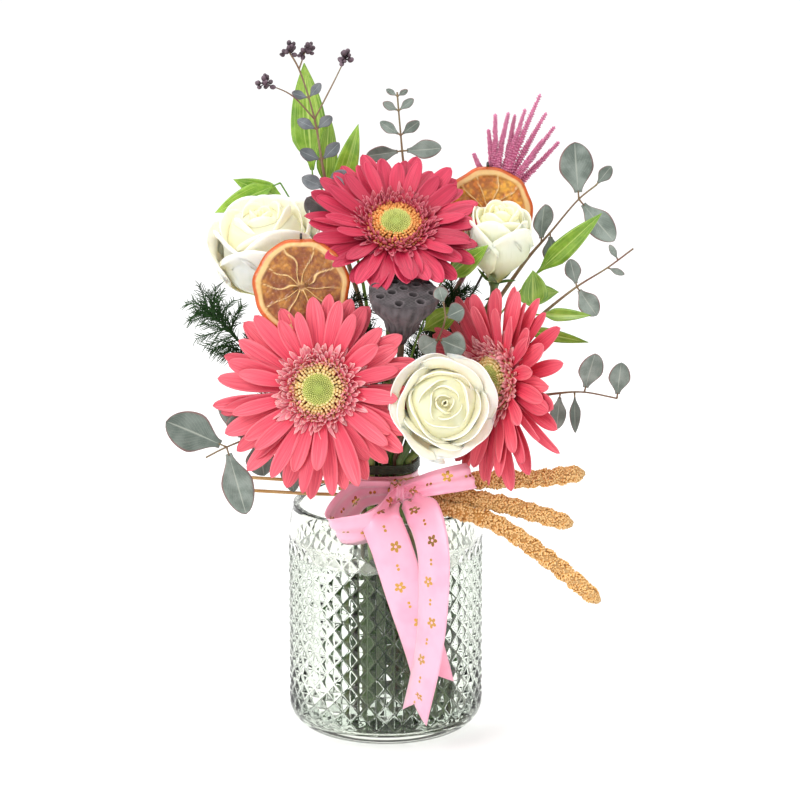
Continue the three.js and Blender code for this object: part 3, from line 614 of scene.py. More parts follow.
@dataclass(frozen=True)
class LeafFinish(Finish):
    """A leaf blade with veins, patches, a paler bloom and a tinted edge."""

    first: str = "#65766c"
    second: str = "#8d9c92"
    vein: str = "#b3bcab"
    edge: str = "#8a5552"
    edge_share: float = 0.5
    vein_count: float = 11.0
    slant: float = 0.55
    sides: float = 1.0
    lines: float = 0.0  # how strongly fine lines run the length of the blade

    def wire(self, w: Wiring, shader: bpy.types.Node) -> None:
        """Feeds the shader."""
        along, across, tone = w.values()
        patches, height = w.mottle(self.first, self.second, 120.0, 1500.0)
        usual = {"Count": self.vein_count, "Slant": self.slant, "Sides": self.sides}
        veins = w.group(vein_effect(), Along=along, Across=across, **usual).outputs[0]
        base = w.over(patches, tone, 0.6, w.mix(0.55, self.first, (0.01, 0.02, 0.01, 1.0)))
        base = w.over(base, veins, 0.6, self.vein)
        base = w.over(base, w.step(w.fibres(13.0, 0.8), 0.5, 0.66), self.lines, self.vein)
        base = w.over(base, w.step(w.math("ABSOLUTE", across), 0.86, 1.0), self.edge_share, self.edge)
        w.dress(shader, base, w.math("SUBTRACT", w.times(height, 0.4), veins), 0.35, 0.5 * MM)


@dataclass(frozen=True)
class StemFinish(Finish):
    """A stem: lengthwise fibres over patches of two colours, with painted shade in the grooves between the fibres and
    painted shade under water.
    """

    first: str = "#5f7f38"
    second: str = "#87a04f"
    patch: float = 60.0
    # painted shade under water: this and the next two settings darken the stem's colour towards and below the water
    # line
    underwater_shade_share: float = 0.85  # how dark the stem is under water
    unshaded_above: float = 135 * MM
    fully_shaded_below: float = 100 * MM

    def wire(self, w: Wiring, shader: bpy.types.Node) -> None:
        """Feeds the shader."""
        patches, _ = w.mottle(self.first, self.second, self.patch, 1200.0)
        lines = w.fibres(7.0, 8.0)
        # painted shade in the grooves between the fibres
        deep = w.mix(0.6, self.first, (0.01, 0.02, 0.005, 1.0))
        shaded = w.over(patches, w.step(lines, 0.6, 0.35), 0.35, deep)
        height = w.node("ShaderNodeSeparateXYZ")
        w.feed(height.inputs[0], w.place())
        # painted shade under water, growing from the upper height down to the lower
        wet = w.step(height.outputs[2], self.unshaded_above, self.fully_shaded_below)
        underwater_shade = w.mix(w.step(lines, 0.4, 0.65), "#16280f", "#3f5a24")
        w.dress(shader, w.over(shaded, wet, self.underwater_shade_share, underwater_shade), lines, 0.4, 0.4 * MM)


@dataclass(frozen=True)
class FloretFinish(Finish):
    """Small florets, buds, grains or seeds, whose colour is set by where each one sits."""

    inner: str = "#a9a53a"
    outer: str = "#f0a078"
    tip: str = "#f6dc9a"

    def wire(self, w: Wiring, shader: bpy.types.Node) -> None:
        """Feeds the shader."""
        along, across, tone = w.values()
        base = w.mix(across, self.inner, self.outer)
        base = w.over(base, w.step(along, 0.45, 1.0), 0.75, self.tip)
        # tone darkens each piece: at random on most, and as painted shade on the millet heads and the gerbera disc's
        # dome
        base = w.over(base, tone, 0.45, w.mix(0.7, self.inner, (0.02, 0.015, 0.01, 1.0)))
        w.dress(shader, base, w.noise(w.place(), 2500.0, 2.0), 0.3, 0.2 * MM)


@dataclass(frozen=True)
class SliceFinish(Finish):
    """A dried slice of orange: along is 0 in the pulp and 1 in the rind, and across marks pith."""

    pulp: str = "#8a4415"
    pulp_light: str = "#cf8f36"
    pith: str = "#e2bd80"
    rind: str = "#d05a10"

    def wire(self, w: Wiring, shader: bpy.types.Node) -> None:
        """Feeds the shader."""
        rind, pith, tone = w.values()
        voronoi = w.node("ShaderNodeTexVoronoi", feature="SMOOTH_F1")
        w.feed(voronoi.inputs["Vector"], w.place())
        w.feed(voronoi.inputs["Scale"], 420.0)
        cells = voronoi.outputs["Distance"]
        soft = w.noise(w.place(), 160.0, 4.0)
        flesh = w.over(self.pulp, w.step(soft, 0.35, 0.7), 0.85, self.pulp_light)
        flesh = w.over(flesh, w.step(cells, 0.25, 0.6), 0.45, "#6e3410")
        flesh = w.over(flesh, tone, 0.6, "#55280d")
        pale = w.over(self.pith, w.step(soft, 0.4, 0.75), 0.5, "#cf9c5a")
        skin = w.over(self.rind, w.step(soft, 0.4, 0.6), 0.5, "#a84c12")
        base = w.mix(rind, w.mix(pith, flesh, pale), skin)
        w.dress(shader, base, w.math("ADD", w.times(cells, -0.6), soft), 0.7, 0.8 * MM)


@dataclass(frozen=True)
class PodFinish(Finish):
    """A dried pod: dusty, wrinkled, and darkened with painted shade where across marks a seed hole."""

    first: str = "#2b2526"
    second: str = "#50474a"
    # painted shade in the seed holes
    hole: str = "#0a0707"

    def wire(self, w: Wiring, shader: bpy.types.Node) -> None:
        """Feeds the shader."""
        _, hole, tone = w.values()
        patches, height = w.mottle(self.first, self.second, 140.0, 1400.0)
        # painted shade: near black in the seed holes
        w.dress(shader, w.over(w.mix(hole, patches, self.hole), tone, 0.5, "#6c6265"), height, 0.6, 0.8 * MM)


@dataclass(frozen=True)
class SatinFinish(Finish):
    """Satin ribbon with a fine weave and a scattered gold flower print, over soft patches of painted shade, with more
    painted shade near the start of each run, where the tails and loops leave the knot.
    """

    cloth: str = "#f8b0c6"
    shade: str = "#ea7a9c"
    gold: str = "#c9984a"
    pitch: float = 24.0  # from flower to flower, in millimetres
    swing: float = 2.2  # of each flower to the side, in millimetres

    def wire(self, w: Wiring, shader: bpy.types.Node) -> None:
        """Feeds the shader. along and across are millimetres down and across the ribbon."""
        along, across, _ = w.values()
        # painted shade: soft patches of the darker pink over the satin
        cloth = w.over(self.cloth, w.step(w.noise(w.place(), 70.0, 2.0), 0.35, 0.75), 0.3, self.shade)
        # painted shade: darker over the first 38 millimetres of each run, where the tails and loops leave the knot
        cloth = w.over(cloth, w.step(along, 38.0, 4.0), 0.55, self.shade)
        flower = self.flower(w, along, across)
        w.feed(shader.inputs["Metallic"], w.times(flower, 0.85))
        w.feed(shader.inputs["Roughness"], w.math("MULTIPLY_ADD", flower, -0.08, self.roughness))
        weave = w.math("SINE", w.times(w.math("ADD", along, w.times(across, 0.35)), 16.0))
        raised = w.math("MULTIPLY_ADD", flower, 1.5, weave)
        w.dress(shader, w.mix(flower, cloth, self.gold), raised, 0.1, 0.1 * MM)

    def flower(self, w: Wiring, along: Socket, across: Socket) -> Socket:
        """A five-petalled flower in each pitch, swung to each side in turn, with a dot between two."""
        step = w.math("DIVIDE", along, self.pitch)
        side = w.math("PINGPONG", w.math("FLOOR", step), 1.0)
        u = w.times(w.math("SUBTRACT", w.math("FRACT", step), 0.5), self.pitch)
        v = w.math("SUBTRACT", across, w.math("MULTIPLY_ADD", side, 2 * self.swing, -self.swing))
        reach = w.size(u, v)
        petals = w.math("ABSOLUTE", w.math("COSINE", w.times(w.math("ARCTAN2", v, u), 2.5)))
        bloom = w.math("LESS_THAN", reach, w.math("MULTIPLY_ADD", petals, 2.0, 1.5))
        eye = w.math("GREATER_THAN", reach, 0.8)
        x = w.math("SUBTRACT", w.math("ABSOLUTE", u), self.pitch / 2 - 1.2)
        dot = w.math("LESS_THAN", w.size(x, across), 0.9)
        return w.math("MAXIMUM", w.times(bloom, eye), dot)


@dataclass(frozen=True)
class GlassFinish(Finish):
    """Clear glass or water."""

    index: float = 1.5
    tint: str = "#f4faf8"

    def wire(self, w: Wiring, shader: bpy.types.Node) -> None:
        """Feeds the shader: a trace of unevenness in the surface."""
        shader.inputs["Transmission Weight"].default_value = 1.0
        shader.inputs["IOR"].default_value = self.index
        w.dress(shader, self.tint, w.noise(w.place(), 55.0, 1.0), 0.04, 1 * MM)


@dataclass(frozen=True)
class TapeFinish(Finish):
    """Wound tape, wire or twine: two close tones with fine ribs across it."""

    first: str = "#252d20"
    second: str = "#3a4531"
    ribs: float = 1400.0

    def wire(self, w: Wiring, shader: bpy.types.Node) -> None:
        """Feeds the shader."""
        patches, height = w.mottle(self.first, self.second, 300.0, 2500.0)
        ribs = w.math("SINE", w.times(w.attribute("along"), self.ribs))
        w.dress(shader, patches, w.math("ADD", ribs, height), 0.3, 0.2 * MM)


@dataclass(frozen=True)
class FloorFinish(Finish):
    """The plain pale floor."""

    tint: str = "#ffffff"

    def wire(self, w: Wiring, shader: bpy.types.Node) -> None:
        """Feeds the shader."""
        w.feed(shader.inputs["Base Color"], w.over(self.tint, w.noise(w.place(), 3.0, 2.0), 0.15, "#fafafa"))


# ---------------------------------------------------------------- shapes that several pieces share
def ball(rings: int, sides: int) -> tuple[Array, Array]:
    """The points and faces of a ball of radius one."""
    tilt = np.linspace(-0.5, 0.5, rings + 1)[:, None] * math.pi
    points = revolve(np.cos(tilt), round_turn(sides), np.sin(tilt))
    return points.reshape(-1, 3), grid_faces(rings + 1, sides, closed=True)


def frames_along(ways: Array) -> Array:
    """Three directions for each row of ways, which is the third of them."""
    z = unit(ways)
    hint = np.where(np.abs(z[:, 2:3]) > 0.9, [[1.0, 0.0, 0.0]], [[0.0, 0.0, 1.0]])
    x = unit(np.cross(hint, z))
    return np.stack([x, np.cross(z, x), z], 1)


def scatter(
    shell: Shell, shape: tuple[Array, Array], places: Array, ways: Array, sizes: Array, across: Array, tone: Array
) -> None:
    """Adds a copy of a small shape at each place.

    Args:
        shell: the mesh that they join.
        shape: the points and faces of one copy, with its tip towards +Z.
        places: the middle of each copy.
        ways: the direction of each copy's tip.
        sizes: each copy's scale along its three directions.
        across: one value for each copy.
        tone: one value for each copy.
    """
    points, faces = shape
    moved = places[:, None] + np.einsum("nk,mk,mkd->mnd", points, sizes, frames_along(ways))
    many = faces[None] + len(points) * np.arange(len(places))[:, None, None]
    along = (points[:, 2] - points[:, 2].min()) / np.ptp(points[:, 2])
    shell.add(
        moved.reshape(-1, 3),
        many.reshape(-1, faces.shape[1]),
        along=np.broadcast_to(along, moved.shape[:2]),
        across=np.broadcast_to(np.asarray(across)[:, None], moved.shape[:2]),
        tone=np.broadcast_to(np.asarray(tone)[:, None], moved.shape[:2]),
    )


def ways_round(line: Array, t: Array, angle: Array) -> tuple[Array, Array, Array]:
    """Directions round a line, at shares of its length and angles about it.

    Args:
        line: the sampled line.
        t: each place's share of the line.
        angle: each place's angle about the line.

    Returns:
        Each place's sample, and the directions out from the line and along it there.
    """
    tangents, normals, binormals = carried_frames(line)
    index = np.minimum((t * (len(line) - 1)).astype(int), len(line) - 2)
    out = normals[index] * np.cos(angle)[:, None] + binormals[index] * np.sin(angle)[:, None]
    return index, out, tangents[index]


@dataclass(frozen=True)
class Outline:
    """How a blade's half width runs from its root to its tip, as shares of its full half width."""

    root: float
    widest: float
    power: float

    def at(self, t: Array) -> Array:
        """The share of the full half width at each share of the length."""
        rising = self.root + (1 - self.root) * smooth(0, self.widest, t)
        falling = np.clip(1 - np.clip((t - self.widest) / (1 - self.widest), 0, 1) ** 2, 0, 1) ** self.power
        return np.maximum(rising * falling, 0.012)


class Blade(Enum):
    """The outlines of the petals and leaves."""

    RAY = Outline(0.42, 0.7, 0.55)
    STRAP = Outline(0.5, 0.6, 0.7)
    OVAL = Outline(0.12, 0.42, 0.85)
    ROUND = Outline(0.2, 0.5, 0.6)
    LANCE = Outline(0.1, 0.33, 1.0)
    BRACT = Outline(0.8, 0.2, 0.9)


@dataclass
class Sheetlet:
    """One petal or leaf, from its root along the first direction, with its face to the third."""

    length: float
    width: float
    blade: Blade
    rise: float = 0.0  # angle of its root above the plane, in radians
    bend: float = 0.0  # angle that it turns through, root to tip
    hollow: float = 0.12  # of its middle below its edges, as a share of its width
    fold: float = 0.0  # of its halves about the midrib, as a share of its width
    sway: float = 0.0  # sideways curve, as a share of its length
    twist: float = 0.0  # about its length, in radians
    wave: float = 0.0  # of its edges, in metres
    rows: int = 12
    columns: int = 7

    def grid(self) -> tuple[Array, Array, Array]:
        """The points of the blade, and each point's share along and across."""
        u = np.linspace(0, 1, self.rows)
        t = 1 - (1 - u) ** 1.25
        s = np.linspace(-1, 1, self.columns)
        angle = self.rise + self.bend * t
        step = np.diff(t, prepend=0.0) * self.length
        x, z = np.cumsum(np.cos(angle) * step), np.cumsum(np.sin(angle) * step)
        t, angle, x, z = (v[:, None] for v in (t, angle, x, z))
        half = self.blade.value.at(t) * self.width / 2
        turn = self.twist * t
        across = half * s
        bowl = self.hollow * (s**2 - 0.4) + self.fold * (np.abs(s) - 0.5)
        dip = self.width * bowl * np.minimum(half / (self.width / 2), 1)
        dip = dip + self.wave * np.sin(9 * t + 2.2 * s + self.length * 900) * np.abs(s) ** 1.5
        side = across * np.cos(turn) - dip * np.sin(turn) + self.sway * self.length * t**2
        lift = across * np.sin(turn) + dip * np.cos(turn)
        return np.stack([x - lift * np.sin(angle), side, z + lift * np.cos(angle)], -1), t, s

    def lay(self, shell: Shell, root: Array, along: Array, face: Array, tone: float) -> None:
        """Adds the blade to a mesh, from a root along a direction, its face near to another."""
        x = unit(along)
        y = unit(np.cross(face, x))
        z = np.cross(x, y)
        points, t, s = self.grid()
        shell.grid(root + points @ np.stack([x, y, z]), along=t, across=s, tone=tone)


@dataclass(frozen=True)
class Tie:
    """Where the stems run side by side, in metres."""

    pitch: float = 5.8 * MM
    bottom: float = 140 * MM
    top: float = 168 * MM
    floor: float = 8.3 * MM
    spread: float = 1.7
    lean: float = 8 * MM

    def place(self, slot: tuple[int, int]) -> Array:
        """Where a stem stands in the tie."""
        ring, step = slot
        angle = step * TURN / (6 * ring) if ring else 0.0
        return np.array([math.cos(angle), math.sin(angle)]) * ring * self.pitch

    def route(self, slot: tuple[int, int], points: Array) -> tuple[Array, Array]:
        """A stem's line from the vase's floor, and the part of it above the tie.

        Args:
            slot: the stem's ring and step in the tie.
            points: where it goes above the tie.

        Returns:
            The whole line, and the upper line, which starts at the tie's top.
        """
        x, y = self.place(slot)
        end = np.array([x * self.spread + self.lean, y * self.spread, self.floor])
        low = np.array([x, y, self.bottom])
        upper = through(np.vstack([[x, y, self.top], points]), 8)
        foot = np.linspace(end, low, 9)[:-1]
        tied = np.linspace(low, upper[0], 4)[:-1]
        return np.vstack([foot, tied, upper]), upper


TIE = Tie()


@dataclass
class Head:
    """What every head shares: its name, its slot in the tie and its stem's bends."""

    name: str
    slot: tuple[int, int]
    via: list[Point]
    seed: int

    def line(self, neck: Array, way: Array, width: float) -> Array:
        """The stem's line into the head's back."""
        points = np.vstack([metres(self.via), neck - unit(way) * 2.6 * width, neck])
        return TIE.route(self.slot, points)[0]


# ---------------------------------------------------------------- gerberas
@dataclass
class Gerbera(Head):
    """A gerbera: a stem, a scaly calyx, long rays, short pale rays and a domed disc.

    Each ring starts with its count, and its lengths are in millimetres. A layer of rays adds its share
    of the reach, its rise and its width. The crown adds root radius, length, rise and width, the ring
    florets add radius and height, and the bracts add root radius, root height and length. The cup is
    pairs of radius and height.
    """

    finish: PetalFinish = PetalFinish("coral ray")
    layers: tuple[tuple[int, float, float, float], ...] = (
        (20, 1.03, 0.05, 11.2), (20, 1.0, 0.14, 10.8), (17, 0.88, 0.24, 9.6)
    )
    crown: tuple[tuple[int, float, float, float, float], ...] = (
        (34, 14.0, 16.5, 0.26, 3.4),
        (46, 18.5, 10.0, 0.45, 2.6),
        (50, 17.5, 8.5, 0.6, 2.4),
        (50, 16.5, 7.0, 0.75, 2.2),
        (50, 15.5, 6.0, 0.95, 2.0),
        (46, 14.5, 5.0, 1.1, 1.8),
    )
    florets: tuple[tuple[int, float, float], ...] = (
        (34, 9.7, 8.8),
        (38, 11.1, 8.7),
        (42, 12.5, 8.4),
        (46, 13.9, 8.0),
        (50, 15.3, 7.4),
        (52, 16.7, 6.9),
    )
    bracts: tuple[tuple[int, float, float, float], ...] = (
        (17, 4.0, -9.6, 7.0), (19, 6.6, -7.4, 7.5), (21, 8.8, -5.2, 7.6)
    )
    cup: tuple[tuple[float, float], ...] = (
        (2.6, -11.2), (3.6, -10.6), (6.5, -8.4), (9.4, -5.4), (11.4, -2.4), (12.0, -0.6), (9.0, -0.35), (0.01, -0.35)
    )
    buds: int = 260
    neck: float = 11 * MM  # how far behind the rays the stem meets the cup
    droop: float = 0.05  # how much longer the lower rays are than the upper ones
    stem_width: float = 5 * MM
    disc_radius: float = 9.3 * MM
    stem_finish: StemFinish = StemFinish("gerbera stem", first="#6f8a3d", second="#93a85a", sheen=0.3)
    calyx_finish: LeafFinish = LeafFinish(
        "calyx bract", first="#5d7a33", second="#7f9a4a", vein="#9db167", edge="#8a5a55", edge_share=0.35
    )
    pale_finish: PetalFinish = PetalFinish(
        "pale ray", root="#ea4862", middle="#f4748a", tip="#fdc6c2", edge="#fed8d2", shade="#d63e5e", grooves=5.0,
        subsurface=0.2
    )
    disc_finish: FloretFinish = FloretFinish("disc floret", inner="#a5b843", outer="#cfd060", tip="#e2e493")
    floret_finish: FloretFinish = FloretFinish("ring floret", inner="#e7c85a", outer="#f59a6a", tip="#fdf0bf")

    def __post_init__(self) -> None:
        """Takes the head's place and size from the model's calyx, disc and rays."""
        self.rng = np.random.default_rng(self.seed)
        calyx, disc = (node_points(f"{self.name}_{part}") for part in ("calyx", "disc"))
        way = unit(disc.mean(0) - calyx.mean(0))
        middle = calyx.mean(0)
        self.seat = Seat.facing(middle + way * (((calyx - middle) @ way).max() + 0.3 * MM), way)
        rays = self.seat.local(node_points(f"{self.name}_outer_rays"))
        self.reach = float(np.hypot(rays[:, 0], rays[:, 1]).max())

    def build(self) -> None:
        """Builds every part of the flower."""
        self.stem()
        self.calyx()
        self.outer_rays()
        self.inner_rays()
        self.disc()

    def ring(self, count: int, turn: float, spread: float) -> Iterator[Array]:
        """The way out at each place in a ring, turned by a share of a step and a little uneven."""
        for i in range(count):
            yield self.seat.out(TURN * (i + turn + self.rng.normal(0, spread)) / count)

    def stem(self) -> None:
        """A smooth stem, thicker below the head."""
        shell = Shell()
        neck = self.seat.origin - self.seat.z * self.neck
        line = self.line(neck, self.seat.z, self.stem_width)
        share = np.linspace(0, 1, len(line))
        shell.tube(line, self.stem_width / 2 * (0.97 + 0.06 * smooth(0.85, 1, share)), 12, tone=self.rng.random())
        show(shell.build(f"{self.name}_stem_shown", self.stem_finish), "stem", f"{self.name}_stem")

    def calyx(self) -> None:
        """A shallow cup under three rows of pointed bracts."""
        shell = Shell()
        radius, height = np.array(self.cup)[:, :1] * MM, np.array(self.cup)[:, 1:] * MM
        cup = revolve(radius, round_turn(40), height)
        shell.grid(self.seat.put(cup), closed=True, along=0.3, across=0.3, tone=0.4)
        for row, (count, start, low, length) in enumerate(self.bracts):
            for i in range(count):
                out = self.seat.out(TURN * (i + 0.5 * row + 0.2 * self.rng.random()) / count)
                root = self.seat.origin + out * start * MM + self.seat.z * low * MM
                along = out * 0.62 + self.seat.z * 0.78
                bract = Sheetlet(
                    length * MM * self.rng.uniform(0.9, 1.1), 3.0 * MM, Blade.BRACT, hollow=-0.12, bend=0.25, rows=7,
                    columns=5
                )
                bract.lay(shell, root, along, out * 0.78 - self.seat.z * 0.62, float(self.rng.random()))
        show(shell.build(f"{self.name}_calyx_shown", self.calyx_finish), "calyx", f"{self.name}_calyx")

    def outer_rays(self) -> None:
        """Layers of long rays, each a little different in length, tilt, twist and sway."""
        shell = Shell()
        for row, (count, share, rise, width) in enumerate(self.layers):
            for out in self.ring(count, 0.5 * (row % 2), 0.16):
                root_radius = (8.4 - 0.3 * row) * MM
                drop = 1 - self.droop * float(out @ np.array([0.35, 0.0, 1.0]))
                length = (self.reach * share * drop - root_radius) * self.rng.uniform(0.9, 1.03)
                petal = Sheetlet(
                    length,
                    width * MM * self.rng.uniform(0.84, 1.1),
                    Blade.RAY,
                    rise=rise + self.rng.normal(0, 0.045),
                    bend=self.rng.normal(-0.02, 0.16),
                    hollow=self.rng.uniform(0.05, 0.16),
                    sway=self.rng.normal(0, 0.045),
                    twist=self.rng.normal(0, 0.26),
                    wave=0.4 * MM,
                    rows=18,
                    columns=9,
                )
                root = self.seat.origin + out * root_radius + self.seat.z * (0.6 + 0.55 * row) * MM
                petal.lay(shell, root, out, self.seat.z, float(self.rng.random()))
        piece = shell.build(f"{self.name}_rays_shown", self.finish, thickness=0.45 * MM)
        show(piece, "coral_rays", f"{self.name}_outer_rays")

    def inner_rays(self) -> None:
        """A dense crown of short curled rays, paler at their tips, over a few longer ones."""
        shell = Shell()
        for row, (count, start, length, rise, width) in enumerate(self.crown):
            for out in self.ring(count, 0.5 * row, 0.2):
                petal = Sheetlet(
                    length * MM * self.rng.uniform(0.8, 1.15),
                    width * MM * self.rng.uniform(0.8, 1.2),
                    Blade.STRAP,
                    rise=rise + self.rng.normal(0, 0.12),
                    bend=self.rng.normal(0.45 if row else -0.15, 0.35),
                    hollow=0.22,
                    sway=self.rng.normal(0, 0.08),
                    twist=self.rng.normal(0, 0.5),
                    rows=8,
                    columns=5,
                )
                root = self.seat.origin + out * start * MM + self.seat.z * (3.2 + 0.55 * row) * MM
                petal.lay(shell, root, out, self.seat.z, float(self.rng.random()))
        piece = shell.build(f"{self.name}_pale_rays_shown", self.pale_finish, thickness=0.3 * MM)
        show(piece, "pale_rays", f"{self.name}_inner_rays")
        self.ring_florets()

    def ring_florets(self) -> None:
        """Rows of small two-lipped florets between the disc and the crown."""
        shell = Shell()
        for row, (count, radius, height) in enumerate(self.florets):
            for out in self.ring(count, 0.5 * row, 0.2):
                rise = 1.3 - 0.12 * row
                way = out * math.cos(rise) + self.seat.z * math.sin(rise)
                root = self.seat.origin + out * (radius - 1.6) * MM + self.seat.z * (height - 4.0) * MM
                tall = self.rng.uniform(3.8, 4.8) * MM
                line = root + way * np.linspace(0, tall, 5)[:, None] + out * (
                    np.linspace(0, 1, 5) ** 2
                )[:, None] * 0.5 * MM
                tint = float(np.clip(row / 5 + self.rng.normal(0, 0.12), 0, 1))
                shade = float(self.rng.random() ** 2)
                shell.tube(line, np.array([0.4, 0.45, 0.6, 0.95, 0.6]) * MM, 6, across=tint, tone=shade)
                for side in (-1, 1):
                    lip = Sheetlet(
                        self.rng.uniform(1.3, 2.1) * MM, 1.1 * MM, Blade.STRAP, rise=0.3, bend=1.2 * side, rows=4,
                        columns=3
                    )
                    lip.lay(shell, line[-2], way + out * 0.7 * side, out * side, shade)
        piece = shell.build(f"{self.name}_ring_florets", self.floret_finish)
        show(piece, "pale_rays", f"{self.name}_inner_rays")

    def disc(self) -> None:
        """Closed buds in crossing spirals over a low dome, smaller and greener in the middle, with painted shade on the
        dome between them.
        """
        shell = Shell()
        k = np.arange(self.buds) + 0.5
        radius = self.disc_radius * np.sqrt(k / self.buds)
        angle = k * GOLDEN_ANGLE
        share = radius / self.disc_radius
        height = (6.9 + 2.2 * np.cos(share * 1.45) - 0.9 * np.exp(-((share / 0.4) ** 2))) * MM
        local = revolve(radius, angle, height)
        ways = revolve(0.55 * share, angle, 1.0) @ self.seat.axes
        wide = (0.42 + 0.3 * share) * MM
        sizes = np.stack([wide, wide, (0.9 + 0.9 * share) * MM], -1)
        tone = np.clip(self.rng.random(self.buds) * 0.6 + 0.25 * (1 - share), 0, 1)
        scatter(shell, ball(5, 6), self.seat.put(local), ways, sizes, share**2, tone)
        # painted shade: the dome under the buds is darkened by its tone, in the gaps between the buds
        rows = np.linspace(0.001, 1, 8)[:, None]
        base = revolve(rows * self.disc_radius, round_turn(32), (6.6 + 2.4 * np.cos(rows * 1.45)) * MM)
        shell.grid(self.seat.put(base), closed=True, across=0.1, tone=1.0)
        show(shell.build(f"{self.name}_disc_shown", self.disc_finish), "disc", f"{self.name}_disc")


# ---------------------------------------------------------------- roses
@dataclass
class Rose(Head):
    """A rose: a thorny stem with sepals, a tight heart, and petals that open and roll at the lip."""

    opening: float = 1.0  # how far its outer petals open
    stem_width: float = 5 * MM
    stem_finish: StemFinish = StemFinish("rose stem", first="#4d6b35", second="#6f8c48")
    petal_finish: RosePetalFinish = RosePetalFinish("rose petal", roughness=0.5, subsurface=0.6, sheen=0.1)

    def __post_init__(self) -> None:
        """Takes the head's place and size from the model's bud and petals."""
        self.rng = np.random.default_rng(self.seed)
        middle, way = turned_axis(f"{self.name}_bud", thin=False)
        petals = node_points(f"{self.name}_petals")
        if (middle - petals.mean(0)) @ way < 0:
            way = -way
        bud = (node_points(f"{self.name}_bud") - middle) @ way
        self.seat = Seat.facing(middle + way * (bud.min() - 3 * MM), way)
        self.length = float(np.ptp(bud)) + 3 * MM
        local = self.seat.local(petals)
        self.radius = float(np.hypot(local[:, 0], local[:, 1]).max()) / 1.07

    def build(self) -> None:
        """Builds every part of the flower."""
        self.stem()
        heart, outer = Shell(), Shell()
        rings = self.rings()
        start = self.rng.random() * TURN
        for row, (count, *sizes) in enumerate(rings):
            for i in range(count):
                angle = start + TURN * i / count + self.rng.normal(0, 0.1)
                self.petal(heart if row < 3 else outer, angle, *sizes, 1 - row / (len(rings) - 1))
            start += math.pi / count + 0.2
        self.core(heart)
        show(
            heart.build(f"{self.name}_heart_shown", self.petal_finish, thickness=0.7 * MM), "rose_heart",
            f"{self.name}_bud"
        )
        show(
            outer.build(f"{self.name}_petals_shown", self.petal_finish, thickness=0.6 * MM), "rose_petals",
            f"{self.name}_petals"
        )

    def rings(self) -> list[tuple[int, float, float, float, float, float]]:
        """For each ring: how many petals, the lip's radius, bulge, height, rolled lip and wrap angle."""
        o = self.opening
        return [
            (3, 0.05, 0.16, 0.955, 0.0, 2.2),
            (3, 0.14, 0.26, 0.975, 0.03, 1.7),
            (3, 0.25, 0.37, 0.99, 0.07, 1.45),
            (3, 0.38, 0.5, 0.985, 0.11, 1.35),
            (3, 0.52 + 0.02 * o, 0.64, 0.96, 0.12 + 0.04 * o, 1.3),
            (4, 0.65 + 0.06 * o, 0.77, 0.925, 0.11 + 0.07 * o, 1.1),
            (4, 0.76 + 0.12 * o, 0.88, 0.87 - 0.05 * o, 0.08 + 0.1 * o, 1.0),
        ]

    def core(self, shell: Shell) -> None:
        """The pale inner petals that close the gaps between the lips."""
        share = np.linspace(0.001, 0.72, 16)[:, None]
        turn = round_turn(48)
        tall = keyed(share, [(0.0, 0.92), (0.2, 0.95), (0.5, 0.91), (0.72, 0.72)]) * self.length - 4.2 * MM
        radius = share * self.radius * (1 + 0.03 * np.sin(5 * turn))
        dome = revolve(radius, turn, tall + 0.5 * MM * np.sin(3 * turn + 9 * share))
        shell.grid(self.seat.put(dome), closed=True, along=0.6, tone=0.9)

    def petal(
        self, shell: Shell, angle: float, lip_at: float, bulge: float, tall: float, roll: float, wrap: float,
        heart: float
    ) -> None:
        """One petal as a patch of a cup, its lip rolled back more at the sides than in the middle.

        Args:
            shell: the mesh that it joins.
            angle: where it stands round the axis.
            lip_at: the radius of its lip, as a share of the flower's.
            bulge: the cup's widest radius, as a share of the flower's.
            tall: the petal's height, as a share of the flower's.
            roll: the size of the rolled lip, as a share of the radius.
            wrap: half of the angle that the petal covers.
            heart: 1 for the innermost petals, 0 for the outermost.
        """
        pick = self.rng.uniform
        t = np.linspace(0, 1, 25)[:, None]
        s = np.linspace(-1, 1, 21)[None]
        edge = np.abs(s)
        rise = t * (1 - 0.26 * edge**2.6)
        half = wrap * keyed(t, [(0.0, 0.4), (0.5, 0.92), (1.0, 1.0)])
        phi = angle + half * s
        lean = pick(-0.03, 0.05) * (1 - heart)
        body = keyed(rise, [(0.0, 0.16), (0.52, 1.0)]) ** 0.8
        radius = self.radius * (bulge * body + (lip_at + lean - bulge) * smooth(0.4, 1.0, rise))
        radius = radius + (0.05 + 0.06 * heart) * s * self.radius * bulge
        radius = radius + pick(0.5, 1.3) * MM * np.sin(2.6 * s * wrap + pick(0, 6)) * rise**2 * (1 - 0.6 * heart)
        turn = smooth(0.7, 1.0, t) * (0.35 + 0.95 * edge**1.4) * pick(2.0, 2.6)
        size = self.radius * roll * pick(0.85, 1.2)
        radius = radius + size * np.sin(np.minimum(turn, 2.4))
        base = (0.02 + 0.1 * heart) * self.length
        height = base + (self.length * tall * pick(0.965, 1.02) - base) * rise - size * (1 - np.cos(turn)) * 0.8
        height = height + 0.6 * MM * np.sin(3.1 * s + pick(0, 6)) * t**3
        shell.grid(self.seat.put(revolve(radius, phi, height)), along=rise, across=s, tone=heart)

